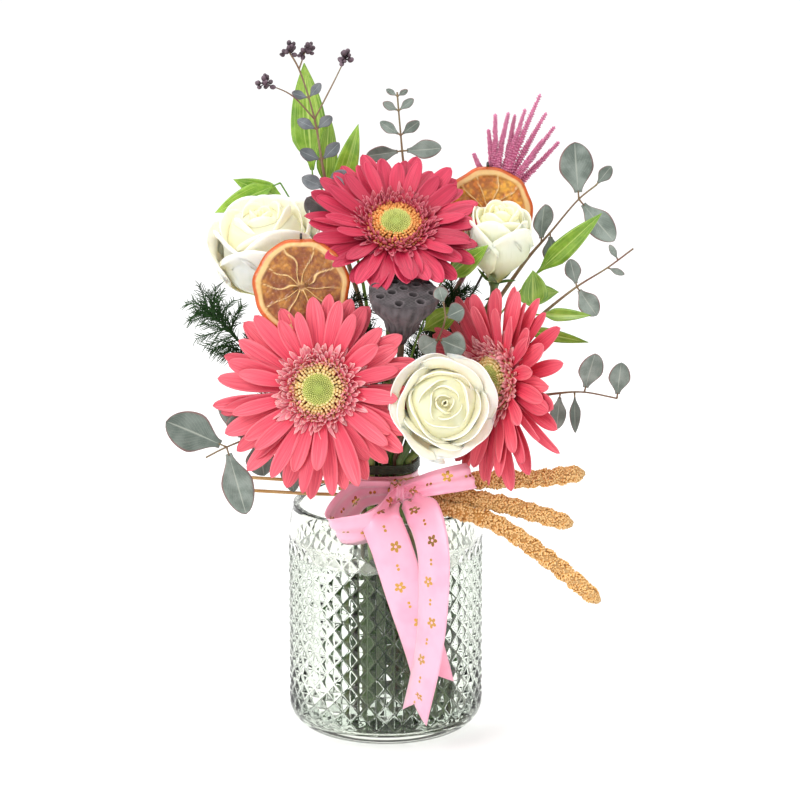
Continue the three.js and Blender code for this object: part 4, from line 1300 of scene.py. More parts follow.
    def stem(self) -> None:
        """A stem with a few thorns, a swollen hip and five sepals."""
        shell = Shell()
        neck = self.seat.origin + self.seat.z * 0.2 * MM
        line = self.line(neck - self.seat.z * 0.5 * MM, self.seat.z, self.stem_width)
        share = np.linspace(0, 1, len(line))
        shell.tube(line, self.stem_width / 2 * (0.96 + 0.5 * smooth(0.94, 1.0, share)), 12, tone=0.3)
        for i, at in enumerate((0.12, 0.24, 0.7, 0.82)):
            point, way = along_line(line, at)
            out = unit(np.cross(way, [math.cos(2.4 * i), math.sin(2.4 * i), 0.2]))
            spots = ((self.stem_width / 2 - 0.3 * MM, 0.0), (4 * MM, 1.2 * MM), (5.2 * MM, 2.6 * MM))
            shell.tube(
                np.array([point + out * reach - way * drop for reach, drop in spots]), np.array([1.1, 0.5, 0.1]) * MM,
                6, tone=0.9
            )
        for i in range(5):
            out = self.seat.out(TURN * (i + 0.3) / 5)
            sepal = Sheetlet(
                self.rng.uniform(12, 15) * MM, 6 * MM, Blade.LANCE, rise=0.75, bend=self.rng.uniform(-0.9, 0.1),
                hollow=-0.2, fold=0.05, twist=self.rng.normal(0, 0.3)
            )
            sepal.lay(
                shell, self.seat.origin + out * 2 * MM - self.seat.z * 0.6 * MM, out, self.seat.z,
                float(self.rng.random())
            )
        show(shell.build(f"{self.name}_stem_shown", self.stem_finish), "stem", f"{self.name}_stem")


# ---------------------------------------------------------------- dried pieces
@dataclass
class OrangeSlice(Head):
    """A dried slice of orange with sunken segments, on a hooked wire."""

    segments: int = 10
    rind: float = 2.3 * MM
    pith: float = 2.0 * MM
    wire_width: float = 1.8 * MM
    finish: SliceFinish = SliceFinish("dried orange", roughness=0.34, subsurface=0.15, coat=0.3)
    wire_finish: TapeFinish = TapeFinish("florist wire", roughness=0.5, first="#23201c", second="#3b342c", ribs=2500.0)

    def __post_init__(self) -> None:
        """Takes the slice's place and size from the model."""
        middle, way = turned_axis(f"{self.name}_slice", thin=True)
        self.seat = Seat.facing(middle, way if way[1] < 0 else -way)
        local = self.seat.local(node_points(f"{self.name}_slice"))
        self.radius = float(np.hypot(local[:, 0], local[:, 1]).max())
        self.half = float(np.ptp(local[:, 2])) / 2

    def build(self) -> None:
        """Builds the slice and its wire."""
        self.slice()
        self.wire()

    def slice(self) -> None:
        """Both faces as fine relief, joined round the rind."""
        shell = Shell()
        share = np.concatenate([np.linspace(0.0, 0.86, 34) ** 0.9, np.linspace(0.885, 1.0, 8)])
        out, turn = np.meshgrid(share, round_turn(180), indexing="ij")
        front = self.relief(out, turn, 1.0)
        back = self.relief(out[::-1], turn[::-1], -1.0)
        points = np.concatenate([front[0], back[0]])
        values = {name: np.concatenate([front[1][name], back[1][name]]) for name in front[1]}
        shell.grid(self.seat.put(points), closed=True, **values)
        show(shell.build(f"{self.name}_slice_shown", self.finish), "dried_orange", f"{self.name}_slice")

    def relief(self, out: Array, turn: Array, side: float) -> tuple[Array, dict[str, Array]]:
        """One face.

        Args:
            out: the share of the radius at each point.
            turn: the angle at each point.
            side: 1 for the front, -1 for the back.

        Returns:
            Local points, and the values that the finish reads.
        """
        wobble = 0.12 * np.sin(2 * turn + 1.0 + self.seed) + 0.08 * np.sin(5 * turn + self.seed)
        wander = 0.3 * np.sin(5 * out + self.seed + 3 * turn) + 0.2 * np.sin(9 * out + 2 * turn)
        cell = (turn / TURN * self.segments + wobble + wander * (1 - out)) % 1.0
        wall = np.minimum(cell, 1 - cell) * TURN / self.segments * out * self.radius
        pulp_edge = self.radius - self.rind - self.pith * (1 + 0.25 * np.sin(3 * turn + self.seed))
        reach = out * self.radius
        inside = smooth(pulp_edge, pulp_edge - 1.2 * MM, reach) * smooth(1.5 * MM, 3.4 * MM, reach)
        pulp = inside * smooth(0.12 * MM, 0.55 * MM, wall)
        bumps = np.sin(reach / MM * 1.9 + 5 * np.sin(turn * self.segments)) * np.sin(turn * 47 + reach / MM * 0.8)
        rind = smooth(self.radius - self.rind * 1.1, self.radius - self.rind * 0.7, reach)
        sink = (1.15 + 0.35 * bumps) * MM * pulp
        lean = turn - 0.7 - self.seed
        slit = smooth(2.6 * MM, 0.8 * MM, np.abs(reach * np.sin(lean)) + 0.25 * np.abs(reach * np.cos(lean)))
        curve = 0.9 * MM * np.sin(2 * turn + self.seed) * out**2 + 0.5 * MM * np.sin(3 * turn) * out**3
        rim = np.sqrt(np.clip(1 - np.clip((out - 0.9) / 0.1, 0, 1) ** 2, 0, 1))
        height = side * (self.half * 0.82 * rim - sink - 1.0 * MM * slit) + curve
        edge = self.radius * (1 + 0.012 * np.sin(7 * turn + self.seed) + 0.01 * np.sin(11 * turn))
        points = revolve(edge * out, turn, height)
        tone = np.clip(slit + 0.35 * pulp * (np.sin(turn * 3 + self.seed) * 0.5 + 0.5) * (1 - out), 0, 1)
        return points, {"along": rind, "across": (1 - pulp) * (1 - slit), "tone": tone}

    def wire(self) -> None:
        """The wire: up the slice's back, to a hook over its top edge."""
        way = self.seat.z
        up = unit(np.array([0.0, 0.0, 1.0]) - way * way[2])
        behind = -(self.half + self.wire_width / 2) - 0.3 * MM
        top = self.radius + self.wire_width / 2 + 0.3 * MM
        spots = [
            (-self.radius, behind), (self.radius - 2 * MM, behind), (top + 1 * MM, behind / 2), (top - 1 * MM, -behind)
        ]
        points = np.vstack([metres(self.via), [self.seat.origin + up * a + way * b for a, b in spots]])
        shell = Shell()
        shell.tube(TIE.route(self.slot, points)[0], self.wire_width / 2 * 0.85, 8)
        show(shell.build(f"{self.name}_wire_shown", self.wire_finish), "wire", f"{self.name}_wire")


@dataclass
class LotusPod(Head):
    """A dried lotus pod: a ridged funnel with a flat top full of seed holes."""

    rings: tuple[tuple[float, int], ...] = ((0.0, 1), (0.42, 4), (0.8, 8))
    hole: float = 2.3 * MM
    depth: float = 5 * MM
    stem_width: float = 4.2 * MM
    finish: PodFinish = PodFinish("lotus pod", roughness=0.78, sheen=0.1)
    stem_finish: StemFinish = StemFinish("pod stem", first="#4d4334", second="#73664c")

    def __post_init__(self) -> None:
        """Takes the pod's place and size from the model."""
        middle, way = turned_axis(self.name, thin=True)
        way = way if way[2] > 0 else -way
        rise = (node_points(self.name) - middle) @ way
        self.seat = Seat.facing(middle + way * rise.max(), way, np.array([0.0, 1.0, 0.0]))
        local = self.seat.local(node_points(self.name))
        top = local[local[:, 2] > -3 * MM]
        self.radius = float(np.hypot(top[:, 0], top[:, 1]).max())
        self.height = float(-local[:, 2].min())

    def build(self) -> None:
        """Builds the pod and its stem."""
        shell = Shell()
        angle = round_turn(240)
        self.top(shell, angle)
        self.funnel(shell, angle)
        show(shell.build("lotus_pod_shown", self.finish), "lotus_pod", "lotus_pod")
        stem = Shell()
        foot = self.seat.origin - self.seat.z * (self.height + 0.3 * MM)
        line = self.line(foot, self.seat.z, self.stem_width)
        stem.tube(line, self.stem_width / 2 * 0.97, 12, tone=0.4)
        show(stem.build("lotus_stem_shown", self.stem_finish), "stem", "lotus_stem")

    def rim(self, angle: Array) -> Array:
        """The radius of the wavy rim."""
        return self.radius * (0.975 + 0.018 * np.sin(5 * angle + 1) + 0.014 * np.sin(9 * angle))

    def top(self, shell: Shell, angle: Array) -> None:
        """The top, with a raised lip round each deep hole."""
        out = np.linspace(0.001, 1, 80)[:, None]
        x, y = out * self.rim(angle) * np.cos(angle), out * self.rim(angle) * np.sin(angle)
        hole, lip = np.zeros_like(x), np.zeros_like(x)
        for share, count in self.rings:
            for i in range(count):
                a = TURN * (i + share) / count
                away = np.hypot(
                    x - self.radius * share * math.cos(a), y - self.radius * share * math.sin(a)
                ) / self.hole
                hole = np.maximum(hole, smooth(1.05, 0.8, away))
                lip = np.maximum(lip, np.exp(-(((away - 1.25) / 0.22) ** 2)))
        dome = -1.3 * MM * out**2 - 0.9 * MM * smooth(0.93, 1.0, out)
        z = dome - self.depth * hole + 0.7 * MM * lip + 0.15 * MM * np.sin(x * 2300) * np.sin(y * 2100)
        points = np.stack([x, y, z], -1)
        shell.grid(self.seat.put(points), closed=True, along=out, across=hole, tone=lip)

    def funnel(self, shell: Shell, angle: Array) -> None:
        """The side, wrinkled lengthwise, narrowing to the stem."""
        t = np.linspace(0, 1, 40)[:, None]
        shape = keyed(t, [(0.0, 1.0), (0.12, 0.985), (0.62, 0.5), (1.0, 0.16)])
        ridge = 0.022 * np.sin(17 * angle + 2 * np.sin(5 * t)) + 0.014 * np.sin(31 * angle + 3 * t)
        radius = self.rim(angle) * (shape + ridge * smooth(0, 0.2, t) * (1 - 0.7 * t))
        points = revolve(radius, angle, -2.2 * MM - (self.height - 2.2 * MM) * t)
        shell.grid(self.seat.put(points), closed=True, along=t, tone=np.clip(0.3 + 14 * ridge, 0, 1))


@dataclass
class Millet:
    """A straw across the bundle's front, with a long seed head at its right end."""

    name: str
    level: float
    left: list[Point]
    right: list[Point]
    seed: int
    lane: float = -23.5
    straw_width: float = 2.4 * MM
    head_radius: float = 5.5 * MM
    grains: int = 4200
    straw_finish: StemFinish = StemFinish("millet straw", roughness=0.6, first="#b98a4e", second="#d9b27a")
    grain_finish: FloretFinish = FloretFinish(
        "millet grain", roughness=0.7, inner="#cc8f42", outer="#edb768", tip="#fadaa0"
    )

    def build(self) -> None:
        """Builds the straw and the seed head."""
        rng = np.random.default_rng(self.seed)
        cross = (8.0, self.lane, self.level)
        straw = through(metres([*self.left, cross, self.right[0]]), 10)
        head = through(metres([cross, *self.right]), 24)
        shell = Shell()
        shell.tube(straw, self.straw_width / 2 * 0.9, 10, tone=0.2)
        shell.tube(head, self.straw_width / 2 * 0.8, 8, tone=0.6)
        show(shell.build(f"{self.name}_straw", self.straw_finish), "millet", self.name)
        grains = Shell()
        pace = np.linspace(0, 1, len(head))
        # painted shade: the core under the grains is darkened by its tone
        grains.tube(head, self.swell(pace) * self.head_radius * 0.72, 14, across=0.2, tone=0.8)
        t = np.sort(rng.random(self.grains))
        angle = rng.random(self.grains) * TURN
        index, out, along = ways_round(head, t, angle)
        part = (t * (len(head) - 1) - index)[:, None]
        middle = head[index] * (1 - part) + head[index + 1] * part
        lump = 0.92 + 0.08 * np.sin(t * 90 + 3 * np.sin(angle))
        reach = self.head_radius * 1.06 * self.swell(t) * lump * rng.uniform(0.9, 1.08, self.grains)
        size = rng.uniform(0.65, 0.95, self.grains)[:, None] * MM
        reach = np.maximum(reach - 0.9 * MM, 0.5 * MM)
        scatter(
            grains,
            ball(4, 6),
            middle + out * reach[:, None],
            out + 0.6 * along,
            size * [0.82, 0.82, 1.15],
            rng.random(self.grains),
            # tone: painted shade, darker for grains that sit nearer the axis of the head
            np.clip(1.2 - reach / self.head_radius * 1.3, 0, 1),
        )
        show(grains.build(f"{self.name}_grains", self.grain_finish), "millet", self.name)

    def swell(self, t: Array) -> Array:
        """The head's share of its full radius: slimmer near the knot, and round at its end."""
        return (0.5 + 0.5 * smooth(0.0, 0.5, t)) * np.sqrt(np.clip(1 - (np.clip(t - 0.93, 0, 1) / 0.072) ** 2, 0.02, 1))


@dataclass
class PinkSpikes:
    """A spray of bumpy pink spikes that fan from one stem."""

    slot: tuple[int, int]
    route: list[Point]
    tips: list[Point]
    seed: int = 91
    buds: int = 900
    stem_width: float = 3.6 * MM
    stem_finish: StemFinish = StemFinish("spike stem", first="#8d4d63", second="#6d7040")
    finish: FloretFinish = FloretFinish(
        "pink spike", roughness=0.85, sheen=0.3, inner="#c24a7c", outer="#dc74a2", tip="#eb9cbf"
    )

    def build(self) -> None:
        """Builds the stem and the spikes."""
        rng = np.random.default_rng(self.seed)
        line, upper = TIE.route(self.slot, metres(self.route))
        stem = Shell()
        stem.tube(line, self.stem_width / 2 * 0.95, 10, tone=0.3)
        base = upper[-1]
        cores = Shell()
        for tip in metres(self.tips):
            side = unit(np.cross(tip - base, [0.0, 1.0, 0.0])) * rng.normal(0, 1.0) * MM
            spine = through(np.array([base, base + 0.55 * (tip - base) + side, tip]), 20)
            cores.tube(spine, np.linspace(1.9, 0.6, len(spine)) * MM, 8, across=0.4, tone=0.45)
            count = self.buds
            t = rng.random(count) ** 1.05 * 0.95 + 0.05
            index, out, along = ways_round(spine, t, rng.random(count) * TURN)
            reach = (2.6 - 1.8 * t) * MM * smooth(-0.12, 0.12, t) * rng.uniform(0.7, 1.1, count)
            size = rng.uniform(0.5, 0.8, count)[:, None] * MM * (1.15 - 0.4 * t)[:, None]
            middle = spine[index] + out * reach[:, None]
            scatter(
                cores, ball(3, 5), middle, out + along, size * [0.8, 0.8, 1.3], rng.random(count),
                rng.random(count) ** 2
            )
        show(stem.build("pink_spikes_stem", self.stem_finish), "spikes", "pink_spikes")
        show(cores.build("pink_spikes_shown", self.finish), "spikes", "pink_spikes")


# ---------------------------------------------------------------- foliage
@dataclass(frozen=True)
class LeafSpot:
    """A leaf: where it leaves its stem, counted in the route's points, its tip and its width."""

    at: float
    tip: Point
    width: float


@dataclass(frozen=True)
class LeafPairs:
    """Opposite leaves that shrink towards the tip of a stem."""

    start: float
    end: float
    count: int
    length: tuple[float, float]
    width: float


class Foliage(Enum):
    """The two kinds of leafy stem: slot, blade, stem width, leaf finish and stem finish."""

    EUCALYPTUS = (
        "eucalyptus",
        Blade.OVAL,
        3.0 * MM,
        LeafFinish(
            "eucalyptus leaf", roughness=0.55, specular=0.35, first="#69746c", second="#929c94", vein="#b4b9ad",
            edge="#934f50", edge_share=0.6
        ),
        StemFinish("eucalyptus twig", roughness=0.6, first="#7a5544", second="#8a7a58"),
    )
    RUSCUS = (
        "ruscus",
        Blade.LANCE,
        2.8 * MM,
        LeafFinish(
            "ruscus leaf", roughness=0.32, coat=0.15, subsurface=0.1, first="#5f951c", second="#93c03a", vein="#c4dd74",
            edge="#55862a", edge_share=0.3, vein_count=3.0, slant=2.2, sides=0.15, lines=0.5
        ),
        StemFinish("ruscus stem", roughness=0.45, first="#5d8f34", second="#7da647"),
    )


@dataclass
class LeafyStem:
    """A leafy stem: a twig with single leaves, and on some of them pairs, branches and seeds."""

    name: str
    kind: Foliage
    slot: tuple[int, int]
    route: list[Point]
    leaves: list[LeafSpot] = field(default_factory=list)
    branches: list[tuple[float, list[Point]]] = field(default_factory=list)
    pairs: LeafPairs | None = None
    seeds: bool = False
    seed: int = 1
    sunken_count: int = 16
    sunken_reach: float = 14 * MM  # how far a sunken leaf stands out from its stem
    room: float = 46 * MM  # the radius inside the vase that they keep to
    seeds_in_head: int = 16
    leaf_finish: LeafFinish | None = None
    # dark green: painted shade for the leaves under water
    sunken_finish: LeafFinish = LeafFinish(
        "sunken leaf", roughness=0.5, specular=0.2, first="#16380c", second="#3f6b1c", vein="#86a838", edge="#204a10",
        edge_share=0.3
    )
    seed_finish: FloretFinish = FloretFinish(
        "eucalyptus seed", roughness=0.6, inner="#33262d", outer="#57404c", tip="#7a6571"
    )

    def build(self) -> None:
        """Builds the twig, its leaves and its seeds."""
        self.rng = np.random.default_rng(self.seed)
        slot, blade, width, usual_finish, stem_finish = self.kind.value
        leaf_finish = self.leaf_finish or usual_finish
        line, self.upper = TIE.route(self.slot, metres(self.route))
        self.spans = len(self.route)
        share = np.linspace(0, 1, len(line))
        self.twig, self.blades, self.sunken = Shell(), Shell(), Shell()
        self.twig.tube(line, width / 2 * (0.98 - 0.62 * smooth(0.35, 0.85, share)), 8, tone=0.4)
        ends = [self.upper[-1]]
        for at, points in self.branches:
            start, _ = along_line(self.upper, at / self.spans)
            branch = through(np.vstack([start, metres(points)]), 6)
            self.twig.tube(branch, 0.2 * width * np.linspace(1, 0.6, len(branch)), 6, tone=0.6)
            ends.append(branch[-1])
        for leaf in self.leaves:
            start, _ = along_line(self.upper, leaf.at / self.spans)
            self.leaf(start, metres(leaf.tip), leaf.width * MM, blade, width)
        if self.pairs:
            self.leaf_pairs(blade, width)
        if self.kind is Foliage.RUSCUS or self.seeds:
            self.sunken_leaves(line)
        show(self.twig.build(f"{self.name}_twig", stem_finish), slot, self.name)
        show(self.blades.build(f"{self.name}_leaves", leaf_finish, thickness=0.45 * MM), slot, self.name)
        if self.sunken.points:
            show(
                self.sunken.build(f"{self.name}_sunken_leaves", self.sunken_finish, thickness=0.4 * MM), slot, self.name
            )
        if self.seeds:
            self.seed_heads(ends)

    def leaf(self, start: Array, tip: Array, width: float, blade: Blade, stem_width: float) -> None:
        """One leaf on a short stalk, its face to the front."""
        reach = tip - start
        stalk = min(0.12, 4 * MM / max(np.linalg.norm(reach), 1e-6))
        root = start + reach * stalk
        bend = self.rng.normal(0, 0.07)
        face = np.array([0.1, -1.0, 0.25]) + self.rng.normal(0, 0.16, 3)
        self.twig.tube(
            np.array([start, (start + root) / 2, root + reach * 0.03]), np.array([0.24, 0.2, 0.16]) * stem_width, 6,
            tone=0.6
        )
        length = float(np.linalg.norm(tip - root))
        slender = blade if length > 2.6 * width or blade is Blade.LANCE else Blade.ROUND
        sheet = Sheetlet(
            length, width, slender, rise=-bend / 2, bend=bend + 0.12, hollow=self.rng.uniform(-0.03, 0.05),
            fold=self.rng.uniform(0.04, 0.12), sway=self.rng.normal(0, 0.015), twist=self.rng.normal(0, 0.18),
            wave=0.02 * width, rows=18, columns=9
        )
        sheet.lay(self.blades, root, reach, face, float(self.rng.random() ** 1.5))

    def sunken_leaves(self, line: Array) -> None:
        """Narrow leaves that still sit on the stem under water, pressed against the bunch, dark green with painted
        shade.
        """
        for i in range(self.sunken_count):
            at = (0.3 + 0.33 * i) / (len(line) - 1)
            start, way = along_line(line, at)
            a = 2.4 * i + self.seed
            out = unit(
                np.array([math.cos(a), math.sin(a), 0.0]) + 0.8 * unit(np.array([start[0] - 4 * MM, start[1], 0.0]))
            )
            if math.hypot(*(start + out * self.sunken_reach)[:2]) > self.room:
                out = -out
            reach = out * self.rng.uniform(0.3, 0.7) + way * self.rng.uniform(0.6, 1.0)
            sheet = Sheetlet(
                self.rng.uniform(18, 30) * MM, self.rng.uniform(6, 9) * MM, Blade.LANCE, bend=self.rng.normal(0, 0.4),
                fold=0.1, twist=self.rng.normal(0, 0.5)
            )
            sheet.lay(self.sunken, start, reach, out - way * 0.5, float(self.rng.random()))

    def leaf_pairs(self, blade: Blade, stem_width: float) -> None:
        """The pairs of leaves along the stem's upper run."""
        pairs = self.pairs
        for i in range(pairs.count):
            share = i / (pairs.count - 1) if pairs.count > 1 else 0.0
            at = (pairs.start + (pairs.end - pairs.start) * share) / self.spans
            length = (pairs.length[0] + (pairs.length[1] - pairs.length[0]) * share) * MM
            start, way = along_line(self.upper, at)
            side = unit(np.cross(way, [0.0, -1.0, 0.0]))
            for hand in (-1, 1):
                tip = start + side * hand * length * 0.8 + way * length * 0.55
                tip[1] += (3 if i % 2 else -3) * hand * MM
                self.leaf(start, tip, pairs.width * MM * length / (pairs.length[0] * MM), blade, stem_width)

    def seed_heads(self, ends: list[Array]) -> None:
        """Small dark seeds in a cluster at the end of each branch."""
        shell = Shell()
        for end in ends:
            count = self.seeds_in_head
            spots = self.rng.normal(0, 1, (count, 3)) * [2.6, 1.8, 2.4] * MM + [0, 0, 1.0 * MM]
            spots = np.clip(spots, -4.2 * MM, 4.6 * MM)
            sizes = self.rng.uniform(0.9, 1.7, (count, 1)) * MM * [1, 1, 1.25]
            scatter(
                shell, ball(6, 8), end + spots, spots + [0, 0, 2 * MM], sizes, self.rng.random(count),
                self.rng.random(count) ** 2
            )
            for spot in spots:
                shell.tube(np.array([end, end + spot * 0.5, end + spot * 0.95]), 0.35 * MM, 5, across=0.1, tone=0.7)
        show(shell.build(f"{self.name}_seeds", self.seed_finish), self.kind.value[0], self.name)


@dataclass
class Fern:
    """A feathery stem: side fronds along its upper run, each lined with fine needles."""

    name: str
    slot: tuple[int, int]
    route: list[Point]
    fronds: int
    frond_length: float
    seed: int
    stem_width: float = 2.6 * MM
    needle: float = 9.5 * MM
    finish: StemFinish = StemFinish(
        "fern needle", roughness=0.7, specular=0.2, first="#1b3516", second="#35592a", patch=40.0
    )

    def build(self) -> None:
        """Builds the stem, the fronds and the needles."""
        rng = np.random.default_rng(self.seed)
        line, upper = TIE.route(self.slot, metres(self.route))
        shell = Shell()
        share = np.linspace(0, 1, len(line))
        shell.tube(line, self.stem_width / 2 * (0.95 - 0.65 * smooth(0.55, 1.0, share)), 8, tone=0.5)
        runs = [through(upper[-9::4], 6)]
        many = self.fronds * 4
        for i in range(many):
            t = 0.25 + 0.73 * i / many
            start, way = along_line(upper, t)
            side = unit(np.cross(way, [0.0, -1.0, 0.0]))
            hand = 1 if i % 2 else -1
            reach = self.frond_length * MM * (1 - 0.5 * (i / many)) * rng.uniform(0.75, 1.0)
            lean = rng.uniform(0.2, 1.0)
            end = start + side * hand * reach * lean + way * reach * (1.2 - lean) + np.array(
                [0, rng.uniform(-6, 6) * MM, 0]
            )
            middle = (start + end) / 2 + way * reach * rng.uniform(-0.05, 0.15)
            run = through(np.array([start, middle, end]), 6)
            shell.tube(run, np.linspace(0.5, 0.2, len(run)) * MM, 5, tone=0.6)
            runs.append(run)
        for run in runs:
            self.needles(shell, run, rng)
        show(shell.build(f"{self.name}_shown", self.finish), "fern", self.name)

    def needles(self, shell: Shell, run: Array, rng: np.random.Generator) -> None:
        """Fine needles on both sides of a frond."""
        count = max(int(line_length(run) / (0.7 * MM)), 8)
        t = np.linspace(0.08, 1, count)
        _, normals, binormals = carried_frames(run)
        for i in range(count):
            start, way = along_line(run, t[i])
            spin = rng.normal(0, 0.7) + (0 if i % 2 else math.pi)
            side = normals[0] * math.sin(spin) + binormals[0] * math.cos(spin)
            length = self.needle * (1 - 0.45 * t[i]) * rng.uniform(0.5, 1.15)
            end = start + (unit(side) * rng.uniform(0.5, 0.8) + way * 0.7) * length
            middle = (start + end) / 2 + way * rng.uniform(-0.3, 0.6) * MM
            shell.tube(np.array([start, middle, end]), np.array([0.3, 0.26, 0.12]) * MM, 3, tone=float(rng.random()))


# ---------------------------------------------------------------- tie and ribbon
SNUG = 0.985  # what a wound piece's line is of its node's outline


def turned(a: Array, b: Array, c: Array) -> float:
    """Above zero where the path from a by b to c turns to the left."""
    return (b[0] - a[0]) * (c[1] - a[1]) - (b[1] - a[1]) * (c[0] - a[0])


def outline_round(name: str) -> Array:
    """The outer line of a collar node, seen from above, counter-clockwise."""
    flat = np.unique(np.round(node_points(name)[:, :2], 5), axis=0)
    order = flat[np.lexsort((flat[:, 1], flat[:, 0]))]
    chains = []
    for points in (order, order[::-1]):
        chain: list[Array] = []
        for p in points:
            while len(chain) > 1 and turned(chain[-2], chain[-1], p) <= 1e-12:
                chain.pop()
            chain.append(p)
        chains += chain[:-1]
    return np.array(chains)


def even_round(line: Array, count: int) -> Array:
    """A closed flat line, resampled to even steps."""
    closed = np.vstack([line, line[:1]])
    reach = np.concatenate([[0], np.cumsum(np.linalg.norm(np.diff(closed, axis=0), axis=1))])
    at = np.linspace(0, reach[-1], count, endpoint=False)
    return np.stack([np.interp(at, reach, closed[:, k]) for k in range(2)], -1)


@dataclass
class Binding:
    """Tape wound round the bundle in overlapping turns."""

    turns: int = 5
    steps: int = 120  # in one turn
    finish: TapeFinish = TapeFinish("florist tape", roughness=0.45)

    def build(self) -> None:
        """Builds the turns, each a rounded strip that climbs round the bundle."""
        low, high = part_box("binding")
        flat = even_round(outline_round("binding"), self.steps) * SNUG
        rise = (high.z - low.z) / self.turns
        count = self.steps * self.turns
        where = np.arange(count)
        line = np.column_stack(
            [flat[where % self.steps], low.z + rise * 0.5 + (high.z - low.z - rise) * where / (count - 1)]
        )
        shell = Shell()
        shell.tube(line, rise * 0.56, 8)
        show(shell.build("binding_shown", self.finish), "binding", "binding")


class Hold(Enum):
    """How a run of ribbon is held."""

    TIED = "gathered"
    FREE = "hung"


@dataclass
class Run:
    """One run of ribbon: a line, the direction across it at each sample, its widths and its pleats."""

    line: Array
    across: Array
    width: Array
    pleat: Array
    pleats: float = 3.0
    notch: float = 0.0
    columns: int = 17
    cup: Array | float = 0.05

    def grid(self) -> tuple[Array, Array, Array]:
        """The points, and the millimetres down and across the flat ribbon."""
        tangent = unit(np.gradient(self.line, axis=0))
        side = unit(self.across - tangent * np.sum(self.across * tangent, 1, keepdims=True))
        face = np.cross(side, tangent)
        s = np.linspace(-1, 1, self.columns)
        fold = np.sin(s * math.pi * self.pleats + 0.6) * self.pleat[:, None]
        cup = (s**2 - 0.4) * (np.asarray(self.cup) * self.width)[:, None]
        points = self.line[:, None] + side[:, None] * (
            s * self.width[:, None] / 2
        )[..., None] + face[:, None] * (fold + cup)[..., None]
        down = np.concatenate([[0], np.cumsum(np.linalg.norm(np.diff(self.line, axis=0), axis=1))])
        if self.notch:
            share = smooth(0.86, 1.0, down / down[-1])[:, None]
            cut = self.notch * share * (1 - np.abs(s))
            points = points - tangent[:, None] * cut[..., None]
        return points, down[:, None] / MM, s * self.width[:, None] / 2 / MM


